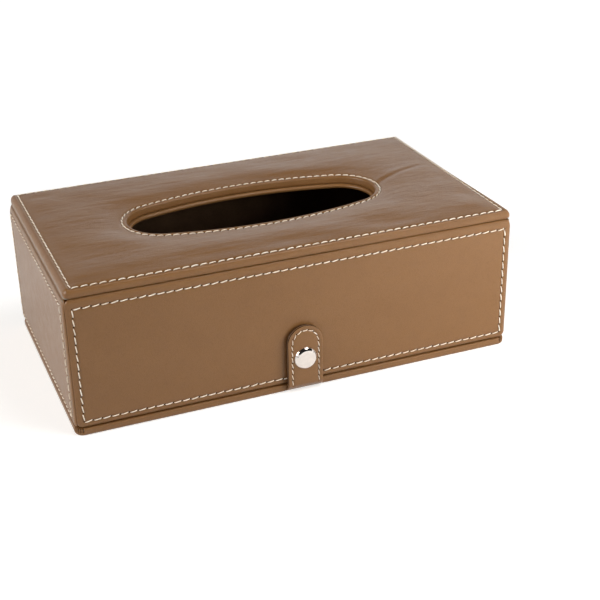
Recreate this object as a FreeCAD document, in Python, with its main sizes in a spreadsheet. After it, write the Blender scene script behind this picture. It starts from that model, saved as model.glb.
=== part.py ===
import FreeCAD, Part
import math
import os
import Sketcher
from FreeCAD import Placement, Rotation, Vector

# Leatherette tissue box. Four stitched wall panels and a padded top with an oval dispensing
# opening make the case. A flap, hinged along the back edge, is the floor of the case, and a
# snap tab on its front edge holds it shut.
#
# Millimetres. X runs along the box, -Y is the front with the tab, +Z is up. The origin is the
# centre of the underside of the flap, on which the box stands.

SIZES = {
    # The box outside, without the tab on its front.
    "box_width": 238,
    "box_depth": 134,
    "box_height": 79.5,
    # Sheet materials.
    "leather": 0.8,  # leatherette that wraps every panel
    "lining": 0.6,  # black paper inside the walls
    "wall_board": 2.0,
    "wall_edge_radius": 1.5,  # roll of the leatherette round the outer face of a wall
    "wall_seam_radius": 0.9,  # the same at the seam with the next wall
    "wall_rim_band": 10,  # leatherette turned in above the bottom edge of a wall
    # Flap.
    "flap_board": 2.5,
    "flap_corner_radius": 4.5,
    "flap_under_radius": 1.5,
    "flap_upper_bevel": 0.7,
    "flap_turn_in": 12,  # leatherette turned in round the upper side of the flap
    "flap_seam": 0.3,  # gap between the closed flap and the walls
    # Hinge strip, glued to the back wall and to the back edge of the flap.
    "hinge_leather": 0.6,
    "hinge_clearance": 0.1,
    "hinge_rise": 8,  # height of the strip on the wall
    "hinge_end_inset": 7,  # from the end of the box to the end of the strip
    # Padded top panel.
    "top_inset": 0.5,  # from the outer face of a wall to the edge of the top panel
    "top_board": 1.8,
    "top_edge_height": 4.8,
    "top_edge_radius": 2.6,
    "top_corner_radius": 3,
    "top_border": 4,  # level border that is stitched down, round the crown
    "crown_rise": 1.0,  # rise of the padding from the border to the flat crown
    "crown_slope": 12,  # width of the slope between them
    "crown_corner_radius": 4,
    # Dispensing opening in the top panel: an oval of four tangent arcs.
    "opening_length": 138,
    "opening_width": 53,
    "opening_end_radius": 19.5,
    "opening_edge_radius": 1.8,
    # Inner top panel, between the walls, whose wrapped edge shows inside the opening.
    "inner_leather": 0.5,
    "inner_board": 1.4,
    "lip_overhang": 1.5,  # how far its edge stands inside the opening of the top panel
    "lip_bevel": 0.7,
    "lip_turn_under": 10,
    # Snap tab.
    "tab_width": 19,
    "tab_height": 37.4,
    "tab_standoff": 0.8,  # gap between the tab and the wall
    "tab_inner": 1.2,  # inner layer
    "tab_outer": 1.3,  # outer layer
    "tab_pivot_height": 4.15,
    "tab_fold_gap": 0.3,  # between the turning end of the tab and its root on the flap
    "tab_root_length": 14,
    "tab_root_front": 0.3,  # upright front of the root, above its slope
    # Snap fastener.
    "snap_height": 19.2,
    "snap_clearance": 0.35,  # between the stud and the bore of the socket
    "snap_fit": 0.05,  # between a rivet and its hole
    "cap_radius": 6.1,
    "cap_height": 1.6,
    "cap_bevel": 0.7,
    "barrel_wall": 0.35,
    "socket_radius": 4.6,
    "socket_proud": 0.1,  # how far the socket stands out of the inner layer
    "stud_height": 2.3,
    "stud_head_radius": 2.1,
    "stud_neck_radius": 1.75,
    "stud_head_length": 0.9,
    "stud_flange_radius": 4,
    "stud_flange": 0.4,
    "stud_roof": 0.8,
    "rivet_radius": 1.3,
    "rivet_flange_radius": 4.5,
    "rivet_flange": 0.5,
}

NEAR = 1e-4  # two places this close are one place
FULL_ROUND = 0.49  # share of a strip's thickness that rolls its end almost to a half round

doc = FreeCAD.newDocument("tissue_box")
sheet = doc.addObject("Spreadsheet::Sheet", "sizes")
for row, (alias, number) in enumerate(SIZES.items(), 1):
    sheet.set(f"A{row}", alias)
    sheet.set(f"B{row}", str(number))
    sheet.setAlias(f"B{row}", alias)
doc.recompute()


class Length:
    """A length that holds both its number and the expression of sheet sizes that gives it."""

    def __init__(self, text, number):
        self.text = text
        self.number = number

    def join(self, sign, other, number):
        return Length(f"({self.text} {sign} {other.text})", number)

    def __add__(self, other):
        other = as_length(other)
        return self.join("+", other, self.number + other.number)

    def __sub__(self, other):
        other = as_length(other)
        return self.join("-", other, self.number - other.number)

    def __mul__(self, other):
        other = as_length(other)
        return self.join("*", other, self.number * other.number)

    def __truediv__(self, other):
        other = as_length(other)
        return self.join("/", other, self.number / other.number)

    def __neg__(self):
        return Length(f"(0 - {self.text})", -self.number)


def as_length(number):
    return number if isinstance(number, Length) else Length(str(number), float(number))


class SheetSizes:
    """Reads a driving size as sizes.NAME, the way an expression of the document does."""

    def __getattr__(self, name):
        return Length(f"sizes.{name}", float(sheet.get(name)))


sizes = SheetSizes()
ZERO = as_length(0)


def bind(target, name, length):
    """Ties a property or a constraint of an object to the sheet."""
    target.setExpression(name, as_length(length).text)


# ---------------------------------------------------------------------------------------
# Sketches
# ---------------------------------------------------------------------------------------


def plane_of(body, role):
    return next(f for f in body.Origin.OriginFeatures if f.Role == role)


def new_sketch(body, name, role, x=ZERO, y=ZERO, z=ZERO):
    """A sketch on one of the body's own planes, moved by x and y in the plane and z off it."""
    sketch = body.newObject("Sketcher::SketchObject", name)
    sketch.AttachmentSupport = [(plane_of(body, role), "")]
    sketch.MapMode = "FlatFace"
    for axis, shift in (("x", x), ("y", y), ("z", z)):
        bind(sketch, f"AttachmentOffset.Base.{axis}", shift)
    return sketch


def dimension(sketch, name, constraint, length):
    """Adds a named dimension and ties it to the sheet."""
    index = sketch.addConstraint(constraint)
    sketch.renameConstraint(index, name)
    bind(sketch, f"Constraints.{name}", length)


def limit(*arguments):
    return Sketcher.Constraint(*arguments)


def arc(x, y, radius, start, end):
    circle = Part.Circle(Vector(x, y, 0), Vector(0, 0, 1), radius)
    return Part.ArcOfCircle(circle, start, end)


def line(x1, y1, x2, y2):
    return Part.LineSegment(Vector(x1, y1, 0), Vector(x2, y2, 0))


def draw_rectangle(sketch, width, depth):
    """A rectangle centred on the sketch's origin."""
    w = width.number / 2
    d = depth.number / 2
    corners = [(-w, -d), (w, -d), (w, d), (-w, d)]
    sketch.addGeometry([line(*corners[i], *corners[(i + 1) % 4]) for i in range(4)], False)
    sketch.addConstraint([limit("Coincident", i, 2, (i + 1) % 4, 1) for i in range(4)])
    sketch.addConstraint([limit("Horizontal", 0), limit("Horizontal", 2)])
    sketch.addConstraint([limit("Vertical", 1), limit("Vertical", 3)])
    sketch.addConstraint(limit("Symmetric", 0, 1, 1, 2, -1, 1))
    dimension(sketch, "width", limit("DistanceX", 0, 1, 0, 2, 2 * w), width)
    dimension(sketch, "depth", limit("DistanceY", 1, 1, 1, 2, 2 * d), depth)


def draw_rounded_rectangle(sketch, width, depth, radius):
    """A rectangle with round corners, centred on the sketch's origin."""
    w = width.number / 2
    d = depth.number / 2
    r = radius.number
    quarter = math.pi / 2
    sketch.addGeometry(
        [
            line(-w + r, -d, w - r, -d),
            arc(w - r, -d + r, r, -quarter, 0),
            line(w, -d + r, w, d - r),
            arc(w - r, d - r, r, 0, quarter),
            line(w - r, d, -w + r, d),
            arc(-w + r, d - r, r, quarter, 2 * quarter),
            line(-w, d - r, -w, -d + r),
            arc(-w + r, -d + r, r, 2 * quarter, 3 * quarter),
        ],
        False,
    )
    sketch.addConstraint([limit("Tangent", i, 2, (i + 1) % 8, 1) for i in range(8)])
    sketch.addConstraint([limit("Horizontal", 0), limit("Vertical", 2)])
    sketch.addConstraint([limit("Horizontal", 4), limit("Vertical", 6)])
    sketch.addConstraint([limit("Equal", 1, 3), limit("Equal", 3, 5)])
    sketch.addConstraint(limit("Symmetric", 1, 3, 5, 3, -1, 1))
    dimension(sketch, "radius", limit("Radius", 1, r), radius)
    span = width - radius * 2
    reach = depth - radius * 2
    dimension(sketch, "width", limit("DistanceX", 7, 3, 1, 3, span.number), span)
    dimension(sketch, "depth", limit("DistanceY", 1, 3, 3, 3, reach.number), reach)


def draw_half_oval(sketch, grow):
    """The +Y half of the opening's outline, standing off it by grow on every side.

    Two end arcs are tangent to one long side arc, whose centre lies on the other side of the
    long axis. A straight line closes the half along that axis.
    """
    half_length = sizes.opening_length / 2 + grow
    half_width = sizes.opening_width / 2 + grow
    end_radius = sizes.opening_end_radius + grow
    a = half_length.number
    b = half_width.number
    r = end_radius.number
    side_radius = ((a - r) ** 2 + b**2 - r**2) / (2 * (b - r))
    centre_drop = side_radius - b
    turn = math.atan2(centre_drop, a - r)
    sketch.addGeometry(
        [
            arc(a - r, 0, r, 0, turn),
            arc(0, -centre_drop, side_radius, turn, math.pi - turn),
            arc(r - a, 0, r, math.pi - turn, math.pi),
            line(-a, 0, a, 0),
        ],
        False,
    )
    crest = sketch.addGeometry(Part.Point(Vector(0, b, 0)), True)
    sketch.addConstraint([limit("Tangent", 0, 2, 1, 1), limit("Tangent", 1, 2, 2, 1)])
    sketch.addConstraint([limit("Coincident", 2, 2, 3, 1), limit("Coincident", 3, 2, 0, 1)])
    sketch.addConstraint([limit("Symmetric", 3, 1, 3, 2, -1, 1), limit("Horizontal", 3)])
    sketch.addConstraint([limit("PointOnObject", 0, 3, -1), limit("PointOnObject", 2, 3, -1)])
    sketch.addConstraint(limit("PointOnObject", 1, 3, -2))
    sketch.addConstraint([limit("PointOnObject", crest, 1, 1), limit("PointOnObject", crest, 1, -2)])
    dimension(sketch, "length", limit("DistanceX", 3, 1, 3, 2, 2 * a), half_length * 2)
    dimension(sketch, "half_width", limit("DistanceY", -1, 1, crest, 1, b), half_width)
    dimension(sketch, "end_radius", limit("Radius", 0, r), end_radius)


def draw_arched_strip(sketch, width, bottom, top):
    """A strip that stands on a straight edge at bottom and ends in a half round at top."""
    radius = width / 2
    centre = top - radius
    r = radius.number
    low = bottom.number
    high = centre.number
    sketch.addGeometry(
        [
            line(-r, low, r, low),
            line(r, low, r, high),
            arc(0, high, r, 0, math.pi),
            line(-r, high, -r, low),
        ],
        False,
    )
    sketch.addConstraint([limit("Coincident", 0, 2, 1, 1), limit("Coincident", 3, 2, 0, 1)])
    sketch.addConstraint([limit("Tangent", 1, 2, 2, 1), limit("Tangent", 2, 2, 3, 1)])
    sketch.addConstraint([limit("Horizontal", 0), limit("Vertical", 1), limit("Vertical", 3)])
    sketch.addConstraint(limit("PointOnObject", 2, 3, -2))
    dimension(sketch, "radius", limit("Radius", 2, r), radius)
    dimension(sketch, "bottom", limit("DistanceY", -1, 1, 0, 1, low), bottom)
    dimension(sketch, "centre", limit("DistanceY", -1, 1, 2, 3, high), centre)


def draw_turned_profile(sketch, points):
    """A closed profile of (radius, height) points to turn about the sketch's upright axis."""
    count = len(points)
    numbers = [(radius.number, height.number) for radius, height in points]
    sketch.addGeometry([line(*numbers[i], *numbers[(i + 1) % count]) for i in range(count)], False)
    for i, (radius, height) in enumerate(points):
        sketch.addConstraint(limit("Coincident", i, 2, (i + 1) % count, 1))
        if abs(radius.number) < NEAR:
            sketch.addConstraint(limit("PointOnObject", i, 1, -2))
        else:
            reach = limit("DistanceX", -1, 1, i, 1, radius.number)
            dimension(sketch, f"radius_{i}", reach, radius)
        if abs(height.number) < NEAR:
            sketch.addConstraint(limit("PointOnObject", i, 1, -1))
        else:
            rise = limit("DistanceY", -1, 1, i, 1, height.number)
            dimension(sketch, f"height_{i}", rise, height)


# ---------------------------------------------------------------------------------------
# Solids
# ---------------------------------------------------------------------------------------


def new_body(label):
    body = doc.addObject("PartDesign::Body", label)
    body.Label = label
    return body


def place(body, x=ZERO, y=ZERO, z=ZERO, turn=None):
    """Puts a body in the box: a fixed turn, and a position that follows the sheet."""
    body.Placement = Placement(Vector(), turn or Rotation())
    for axis, shift in (("x", x), ("y", y), ("z", z)):
        bind(body, f"Placement.Base.{axis}", shift)
    return body


def pad(body, sketch, length):
    feature = body.newObject("PartDesign::Pad", sketch.Name + "_pad")
    feature.Profile = sketch
    bind(feature, "Length", length)
    body.Tip = feature
    return feature


def block(body, name, x_size, y_size, z_size, x=ZERO, y=ZERO, base=ZERO, corner=None):
    """Adds a block to a body: centred on x and y, and z_size high from base."""
    sketch = new_sketch(body, name, "XY_Plane", x, y, base)
    if corner is None:
        draw_rectangle(sketch, x_size, y_size)
    else:
        draw_rounded_rectangle(sketch, x_size, y_size, corner)
    pad(body, sketch, z_size)
    return body


def named_edges(body):
    """The (name, bounding box) of every edge of the body so far."""
    doc.recompute()
    return [(f"Edge{i}", edge.BoundBox) for i, edge in enumerate(body.Tip.Shape.Edges, 1)]


def is_near(a, b):
    return abs(a - b) < NEAR


def edges_at(body, *sides):
    """Names of the edges that lie wholly at each of the given sides, such as "ZMax"."""
    names = []
    for name, box in named_edges(body):
        ends = [(getattr(box, side[0] + end), side) for side in sides for end in ("Min", "Max")]
        if all(is_near(at, getattr(body.Tip.Shape.BoundBox, side)) for at, side in ends):
            names.append(name)
    return names


def edges_on_level(body, height):
    """The (name, bounding box) of the edges that lie level at a height."""
    low = height.number - NEAR
    high = height.number + NEAR
    return [(name, box) for name, box in named_edges(body) if low < box.ZMin and box.ZMax < high]


def inner_edges(body, height, reach):
    """Names of the edges level at a height that stay within reach along X."""
    near = reach.number
    return [name for name, box in edges_on_level(body, height) if max(box.XMax, -box.XMin) < near]


def outer_edges(body, height):
    """Names of the edges level at a height that reach the sides of the body."""
    sides = ("XMin", "XMax", "YMin", "YMax")
    names = []
    for name, box in edges_on_level(body, height):
        whole = body.Tip.Shape.BoundBox
        if any(is_near(getattr(box, side), getattr(whole, side)) for side in sides):
            names.append(name)
    return names


def add_roll(body, radius, names):
    """Rolls the named edges of the body so far."""
    base = body.Tip
    roll = body.newObject("PartDesign::Fillet", body.Name + "_roll")
    roll.Base = (base, names)
    bind(roll, "Radius", radius)
    body.Tip = roll
    return body


def add_bevel(body, size, names):
    """Bevels the named edges of the body so far, evenly."""
    base = body.Tip
    bevel = body.newObject("PartDesign::Chamfer", body.Name + "_bevel")
    bevel.Base = (base, names)
    bind(bevel, "Size", size)
    body.Tip = bevel
    return body


def add_slope(body, run, rise, names):
    """Slopes the named edges of the body so far: run wide and rise high."""
    slope = add_bevel(body, rise, names).Tip
    slope.ChamferType = "Two distances"
    bind(slope, "Size2", run)
    return body


def cut_opening(body, grow):
    """Cuts the oval through a body: one half is drawn, and mirrored in the long axis."""
    sketch = new_sketch(body, body.Name + "_opening", "XY_Plane")
    draw_half_oval(sketch, grow)
    pocket = body.newObject("PartDesign::Pocket", body.Name + "_opening_cut")
    pocket.Profile = sketch
    pocket.Type = "ThroughAll"
    pocket.Midplane = True
    mirrored = body.newObject("PartDesign::Mirrored", body.Name + "_opening_mirror")
    mirrored.Originals = [pocket]
    mirrored.MirrorPlane = (plane_of(body, "XZ_Plane"), [""])
    body.Tip = mirrored
    return body


def drill(body, radius, height):
    """Cuts a round hole through a body along Y, at a height above the body's own base."""
    sketch = new_sketch(body, body.Name + "_hole", "XZ_Plane", y=height)
    sketch.addGeometry(Part.Circle(Vector(), Vector(0, 0, 1), radius.number), False)
    sketch.addConstraint(limit("Coincident", 0, 3, -1, 1))
    dimension(sketch, "radius", limit("Radius", 0, radius.number), radius)
    pocket = body.newObject("PartDesign::Pocket", body.Name + "_hole_cut")
    pocket.Profile = sketch
    pocket.Type = "ThroughAll"
    pocket.Midplane = True
    body.Tip = pocket
    return body


def cut(label, base, tools):
    """A piece that is a base with other pieces taken out of it."""
    tool = tools[0]
    if len(tools) > 1:
        tool = doc.addObject("Part::MultiFuse", label + "_filling")
        tool.Shapes = tools
    piece = doc.addObject("Part::Cut", label)
    piece.Label = label
    piece.Base = base
    piece.Tool = tool
    return piece


def turned(label, points):
    """A piece turned about its own upright axis."""
    body = new_body(label)
    sketch = new_sketch(body, label + "_profile", "XZ_Plane")
    draw_turned_profile(sketch, points)
    revolution = body.newObject("PartDesign::Revolution", label + "_turned")
    revolution.Profile = sketch
    revolution.ReferenceAxis = (sketch, ["V_Axis"])
    revolution.Angle = 360
    body.Tip = revolution
    return body


# ---------------------------------------------------------------------------------------
# Heights and thicknesses that several pieces share
# ---------------------------------------------------------------------------------------

half_depth = sizes.box_depth / 2
wall_thickness = sizes.leather + sizes.wall_board + sizes.lining
flap_thickness = sizes.leather * 2 + sizes.flap_board
wall_bottom = flap_thickness + sizes.flap_seam
wall_top = sizes.box_height - sizes.crown_rise - sizes.top_edge_height
wall_height = wall_top - wall_bottom
inner_top_thickness = sizes.inner_leather * 2 + sizes.inner_board
side_length = sizes.box_depth - wall_thickness * 2
room_width = sizes.box_width - wall_thickness * 2
tab_seat = sizes.tab_standoff + sizes.tab_inner  # where the two layers of the tab meet
tab_face = tab_seat + sizes.tab_outer
tab_end = sizes.tab_pivot_height - sizes.tab_outer / 2
snap_bore = sizes.stud_head_radius + sizes.snap_clearance
snap_barrel = snap_bore + sizes.barrel_wall
rivet_hole = sizes.rivet_radius + sizes.snap_fit
within_opening = sizes.opening_length / 2 + sizes.lip_turn_under
outward = Rotation(Vector(1, 0, 0), 90)  # turns a body's +Z to the front of the box

pieces = []  # every sub-part, in the order it is made


# ---------------------------------------------------------------------------------------
# Hinge strip: leatherette across the seam between the back wall and the flap
# ---------------------------------------------------------------------------------------


def make_hinge_strip():
    strip = new_body("hinge_strip")
    width = sizes.box_width - sizes.hinge_end_inset * 2
    bottom = sizes.flap_under_radius
    height = wall_bottom + sizes.hinge_rise - bottom
    block(strip, "strip", width, sizes.hinge_leather, height)
    return place(strip, y=half_depth - sizes.hinge_leather / 2, z=bottom)


hinge_strip = make_hinge_strip()
pieces.append(hinge_strip)


# ---------------------------------------------------------------------------------------
# Walls: a board wrapped in leatherette and lined with black paper
# ---------------------------------------------------------------------------------------


def make_wall(side, length, lining_length, x, y, turn, butts):
    """Makes the board, lining and cover of one wall.

    In a wall's own frame X runs along it, Y goes inward from its outer face and Z up from its
    bottom edge. The front and back walls cover the ends of the side walls, so their inner
    upright edges, at the seam, are rolled too (butts).
    """
    rotation = Rotation(Vector(0, 0, 1), turn)
    board = new_body(f"{side}_wall_board")
    board_middle = sizes.leather + sizes.wall_board / 2
    board_height = wall_height - sizes.leather * 2
    board_length = length - sizes.leather * 2
    block(
        board,
        f"{side}_board",
        board_length,
        sizes.wall_board,
        board_height,
        y=board_middle,
        base=sizes.leather,
    )

    lining = new_body(f"{side}_wall_lining")
    lining_middle = wall_thickness - sizes.lining / 2
    lining_height = wall_height - sizes.wall_rim_band - inner_top_thickness
    block(
        lining,
        f"{side}_paper",
        lining_length,
        sizes.lining,
        lining_height,
        y=lining_middle,
        base=sizes.wall_rim_band,
    )

    wrap = new_body(f"{side}_wall_wrap")
    block(wrap, f"{side}_wrap", length, wall_thickness, wall_height, y=wall_thickness / 2)
    add_roll(wrap, sizes.wall_edge_radius, edges_at(wrap, "YMin"))
    if butts:
        seams = edges_at(wrap, "YMax", "XMin") + edges_at(wrap, "YMax", "XMax")
        add_roll(wrap, sizes.wall_seam_radius, seams)

    if side == "front":
        for body in (board, lining, wrap):
            drill(body, rivet_hole, sizes.snap_height - wall_bottom)
    for body in (board, lining, wrap):
        place(body, x, y, wall_bottom, rotation)
    filling = [board, lining]
    if side == "back":
        filling.append(hinge_strip)
    cover = cut(f"{side}_wall_cover", wrap, filling)
    pieces.extend([cover, board, lining])


half_width = sizes.box_width / 2
side_lining = side_length - sizes.leather * 2
make_wall("front", sizes.box_width, room_width, ZERO, -half_depth, 0, True)
make_wall("back", sizes.box_width, room_width, ZERO, half_depth, 180, True)
make_wall("left", side_length, side_lining, -half_width, ZERO, -90, False)
make_wall("right", side_length, side_lining, half_width, ZERO, 90, False)


# ---------------------------------------------------------------------------------------
# Inner top: the panel between the walls, whose wrapped edge shows inside the opening
# ---------------------------------------------------------------------------------------


def make_inner_top():
    base = wall_top - inner_top_thickness
    lip = -sizes.lip_overhang
    board = new_body("inner_top_board")
    block(board, "inner_board", room_width, side_length, sizes.inner_board)
    cut_opening(board, lip + sizes.inner_leather)
    place(board, z=base + sizes.inner_leather)

    lining = new_body("inner_top_lining")
    block(lining, "inner_paper", room_width, side_length, sizes.inner_leather)
    cut_opening(lining, lip + sizes.lip_turn_under)
    place(lining, z=base)

    wrap = new_body("inner_top_wrap")
    block(wrap, "inner_wrap", room_width, side_length, inner_top_thickness)
    cut_opening(wrap, lip)
    place(wrap, z=base)
    for height in (inner_top_thickness, ZERO):
        add_bevel(wrap, sizes.lip_bevel, inner_edges(wrap, height, within_opening))
    pieces.extend([cut("inner_top_cover", wrap, [board, lining]), board, lining])


make_inner_top()


# ---------------------------------------------------------------------------------------
# Top panel: a board and a foam pad under leatherette that is turned down into the opening
# ---------------------------------------------------------------------------------------


def make_crowned_block(label, inset):
    """The form of the padded top: upright sides, a level border, a slope and a flat crown.

    The sides stand inset from the sides of the top panel, and the border and the crown are
    lower by as much. One form thus serves as the outside of the cover and, one thickness of
    leatherette smaller, as the space inside it.
    """
    side_inset = (sizes.top_inset + inset) * 2
    crown_inset = (sizes.top_inset + sizes.top_border) * 2
    border_level = sizes.top_edge_height - inset

    body = new_body(label)
    block(
        body,
        label + "_crown",
        sizes.box_width - crown_inset,
        sizes.box_depth - crown_inset,
        border_level + sizes.crown_rise,
        corner=sizes.crown_corner_radius + sizes.crown_slope,
    )
    add_slope(body, sizes.crown_slope, sizes.crown_rise, edges_at(body, "ZMax"))
    block(
        body,
        label + "_sides",
        sizes.box_width - side_inset,
        sizes.box_depth - side_inset,
        border_level,
        corner=sizes.top_corner_radius - inset,
    )
    return place(body, z=wall_top)


def make_top_panel():
    skin = sizes.leather
    outside = make_crowned_block("top_outside", ZERO)
    add_roll(outside, sizes.top_edge_radius, outer_edges(outside, sizes.top_edge_height))
    cut_opening(outside, ZERO)
    crown = sizes.top_edge_height + sizes.crown_rise
    add_roll(outside, sizes.opening_edge_radius, inner_edges(outside, crown, within_opening))

    inside = make_crowned_block("top_inside", skin)
    cut_opening(inside, skin)

    board = new_body("top_board")
    inset = (sizes.top_inset + skin) * 2
    width = sizes.box_width - inset
    depth = sizes.box_depth - inset
    corner = sizes.top_corner_radius - skin
    block(board, "panel_board", width, depth, sizes.top_board, corner=corner)
    cut_opening(board, skin)
    place(board, z=wall_top)

    pieces.append(cut("top_cover", outside, [inside]))
    pieces.append(cut("top_padding", inside, [board]))
    pieces.append(board)


make_top_panel()


# ---------------------------------------------------------------------------------------
# Snap tab: its root under the flap, its two layers and the snap fastener
# ---------------------------------------------------------------------------------------


def make_tab_root():
    """The fixed end of the tab: let into the underside of the flap, then sloped up in front."""
    root = new_body("tab_root")
    skin = sizes.leather
    reach = tab_face - sizes.tab_outer / 2
    length = sizes.tab_root_length + reach
    middle = (sizes.tab_root_length - reach) / 2
    block(root, "root_tail", sizes.tab_width, length, skin, y=middle)
    rise = tab_end - sizes.tab_fold_gap
    front = (skin - reach) / 2
    block(root, "root_rise", sizes.tab_width, reach + skin, rise, y=front)
    bottom = edges_at(root, "YMin", "ZMin")
    add_slope(root, reach + skin, rise - sizes.tab_root_front, bottom)
    return place(root, y=-half_depth)


def make_tab_layer(label, near, thickness, bottom):
    """One layer of the tab: an arched strip that stands off the wall by near."""
    layer = new_body(label)
    sketch = new_sketch(layer, label + "_outline", "XZ_Plane", z=near)
    draw_arched_strip(sketch, sizes.tab_width, bottom, sizes.tab_height)
    pad(layer, sketch, thickness)
    return place(layer, y=-half_depth)


def make_tab():
    """The outer layer turns on its rounded lower end. The inner one starts beside that end."""
    outer = make_tab_layer("tab_outer_leather", tab_seat, sizes.tab_outer, tab_end)
    ends = edges_at(outer, "ZMin", "YMin") + edges_at(outer, "ZMin", "YMax")
    add_roll(outer, sizes.tab_outer * FULL_ROUND, ends)
    drill(outer, snap_barrel + sizes.snap_fit, sizes.snap_height)
    inner = make_tab_layer(
        "tab_inner_leather", sizes.tab_standoff, sizes.tab_inner, sizes.tab_pivot_height
    )
    drill(inner, sizes.socket_radius + sizes.snap_fit, sizes.snap_height)
    pieces.extend([outer, inner])


tab_root = make_tab_root()
pieces.append(tab_root)
make_tab()


def make_snap():
    """The snap's four metal pieces, turned about the axis of the snap, outward from the wall."""
    bore_end = sizes.stud_height + sizes.snap_clearance
    cap = turned(
        "snap_cap",
        [
            (snap_bore, tab_seat),
            (snap_barrel, tab_seat),
            (snap_barrel, tab_face),
            (sizes.cap_radius, tab_face),
            (sizes.cap_radius, tab_face + sizes.cap_height),
            (ZERO, tab_face + sizes.cap_height),
            (ZERO, bore_end),
            (snap_bore, bore_end),
        ],
    )
    add_bevel(cap, sizes.cap_bevel, edges_at(cap, "ZMax"))
    socket_back = sizes.tab_standoff - sizes.socket_proud
    socket = turned(
        "snap_socket",
        [
            (snap_bore, socket_back),
            (sizes.socket_radius, socket_back),
            (sizes.socket_radius, tab_seat),
            (snap_bore, tab_seat),
        ],
    )
    head_start = sizes.stud_height - sizes.stud_head_length
    hollow = sizes.stud_height - sizes.stud_roof
    stud = turned(
        "snap_stud",
        [
            (rivet_hole, ZERO),
            (sizes.stud_flange_radius, ZERO),
            (sizes.stud_flange_radius, sizes.stud_flange),
            (sizes.stud_neck_radius, sizes.stud_flange),
            (sizes.stud_neck_radius, head_start - sizes.stud_flange),
            (sizes.stud_head_radius, head_start),
            (sizes.stud_head_radius, sizes.stud_height),
            (ZERO, sizes.stud_height),
            (ZERO, hollow),
            (rivet_hole, hollow),
        ],
    )
    rivet = turned(
        "snap_rivet",
        [
            (ZERO, -(wall_thickness + sizes.rivet_flange)),
            (sizes.rivet_flange_radius, -(wall_thickness + sizes.rivet_flange)),
            (sizes.rivet_flange_radius, -wall_thickness),
            (sizes.rivet_radius, -wall_thickness),
            (sizes.rivet_radius, hollow - sizes.snap_fit),
            (ZERO, hollow - sizes.snap_fit),
        ],
    )
    for body in (cap, socket, stud, rivet):
        place(body, y=-half_depth, z=sizes.snap_height, turn=outward)
    pieces.extend([cap, socket, stud, rivet])


make_snap()


# ---------------------------------------------------------------------------------------
# Flap: the hinged floor of the box
# ---------------------------------------------------------------------------------------


def make_flap():
    skin = sizes.leather
    hinge_room = sizes.hinge_leather + sizes.hinge_clearance
    depth = sizes.box_depth - hinge_room
    middle = -hinge_room / 2

    board = new_body("flap_board")
    board_width = sizes.box_width - skin * 2
    block(
        board,
        "floor_board",
        board_width,
        depth - skin * 2,
        sizes.flap_board,
        corner=sizes.flap_corner_radius - skin,
    )
    place(board, y=middle, z=skin)

    lining = new_body("flap_lining")
    lining_width = sizes.box_width - sizes.flap_turn_in * 2
    lining_depth = depth - sizes.flap_turn_in * 2
    block(lining, "floor_paper", lining_width, lining_depth, skin)
    place(lining, y=middle, z=flap_thickness - skin)

    wrap = new_body("flap_wrap")
    block(wrap, "floor_wrap", sizes.box_width, depth, flap_thickness, corner=sizes.flap_corner_radius)
    add_roll(wrap, sizes.flap_under_radius, edges_at(wrap, "ZMin"))
    add_bevel(wrap, sizes.flap_upper_bevel, edges_at(wrap, "ZMax"))
    place(wrap, y=middle)
    pieces.extend([cut("flap_cover", wrap, [board, lining, tab_root]), board, lining])


make_flap()


# ---------------------------------------------------------------------------------------
# Check and write
# ---------------------------------------------------------------------------------------


def check_document():
    doc.recompute()
    for thing in doc.Objects:
        if "Invalid" in thing.State or "Error" in thing.State:
            raise RuntimeError(f"{thing.Label} failed: {thing.State}")
    for piece in pieces:
        shape = piece.Shape
        if shape.isNull() or not shape.isValid() or not shape.Solids:
            raise RuntimeError(f"{piece.Label} has no valid solid")
        print(f"{piece.Label}: {len(shape.Solids)} solid, {shape.Volume:.1f} mm3, {len(shape.Faces)} faces")


check_document()
os.makedirs("parts", exist_ok=True)
for piece in pieces:
    piece.Shape.exportStep(f"parts/{piece.Label}.step")
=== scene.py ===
import random
from dataclasses import dataclass
from math import atan2, cos, pi, sin, sqrt

import bmesh
import bpy
import numpy as np
from mathutils import Matrix, Vector


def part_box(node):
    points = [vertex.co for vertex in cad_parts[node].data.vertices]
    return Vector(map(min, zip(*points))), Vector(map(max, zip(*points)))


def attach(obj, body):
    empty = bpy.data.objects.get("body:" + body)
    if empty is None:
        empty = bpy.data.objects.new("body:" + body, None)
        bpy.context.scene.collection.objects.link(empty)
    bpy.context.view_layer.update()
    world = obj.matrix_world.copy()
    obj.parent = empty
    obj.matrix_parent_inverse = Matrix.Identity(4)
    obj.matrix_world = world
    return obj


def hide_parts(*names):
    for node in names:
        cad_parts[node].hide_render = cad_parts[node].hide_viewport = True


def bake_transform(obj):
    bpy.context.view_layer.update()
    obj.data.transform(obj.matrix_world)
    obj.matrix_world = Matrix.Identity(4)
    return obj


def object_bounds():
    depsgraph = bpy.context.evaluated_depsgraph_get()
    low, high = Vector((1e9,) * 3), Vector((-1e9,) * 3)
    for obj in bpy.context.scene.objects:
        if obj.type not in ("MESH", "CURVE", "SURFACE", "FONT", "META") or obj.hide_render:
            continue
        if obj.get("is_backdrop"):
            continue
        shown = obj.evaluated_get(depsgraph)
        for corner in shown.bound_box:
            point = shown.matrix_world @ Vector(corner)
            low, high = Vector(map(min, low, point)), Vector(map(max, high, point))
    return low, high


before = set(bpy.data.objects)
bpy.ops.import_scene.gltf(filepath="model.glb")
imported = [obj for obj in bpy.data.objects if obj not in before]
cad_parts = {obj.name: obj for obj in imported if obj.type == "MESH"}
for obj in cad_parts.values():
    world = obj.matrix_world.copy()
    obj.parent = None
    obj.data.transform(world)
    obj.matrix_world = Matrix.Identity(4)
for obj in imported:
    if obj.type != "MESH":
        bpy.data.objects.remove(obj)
CAD_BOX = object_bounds()

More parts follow.
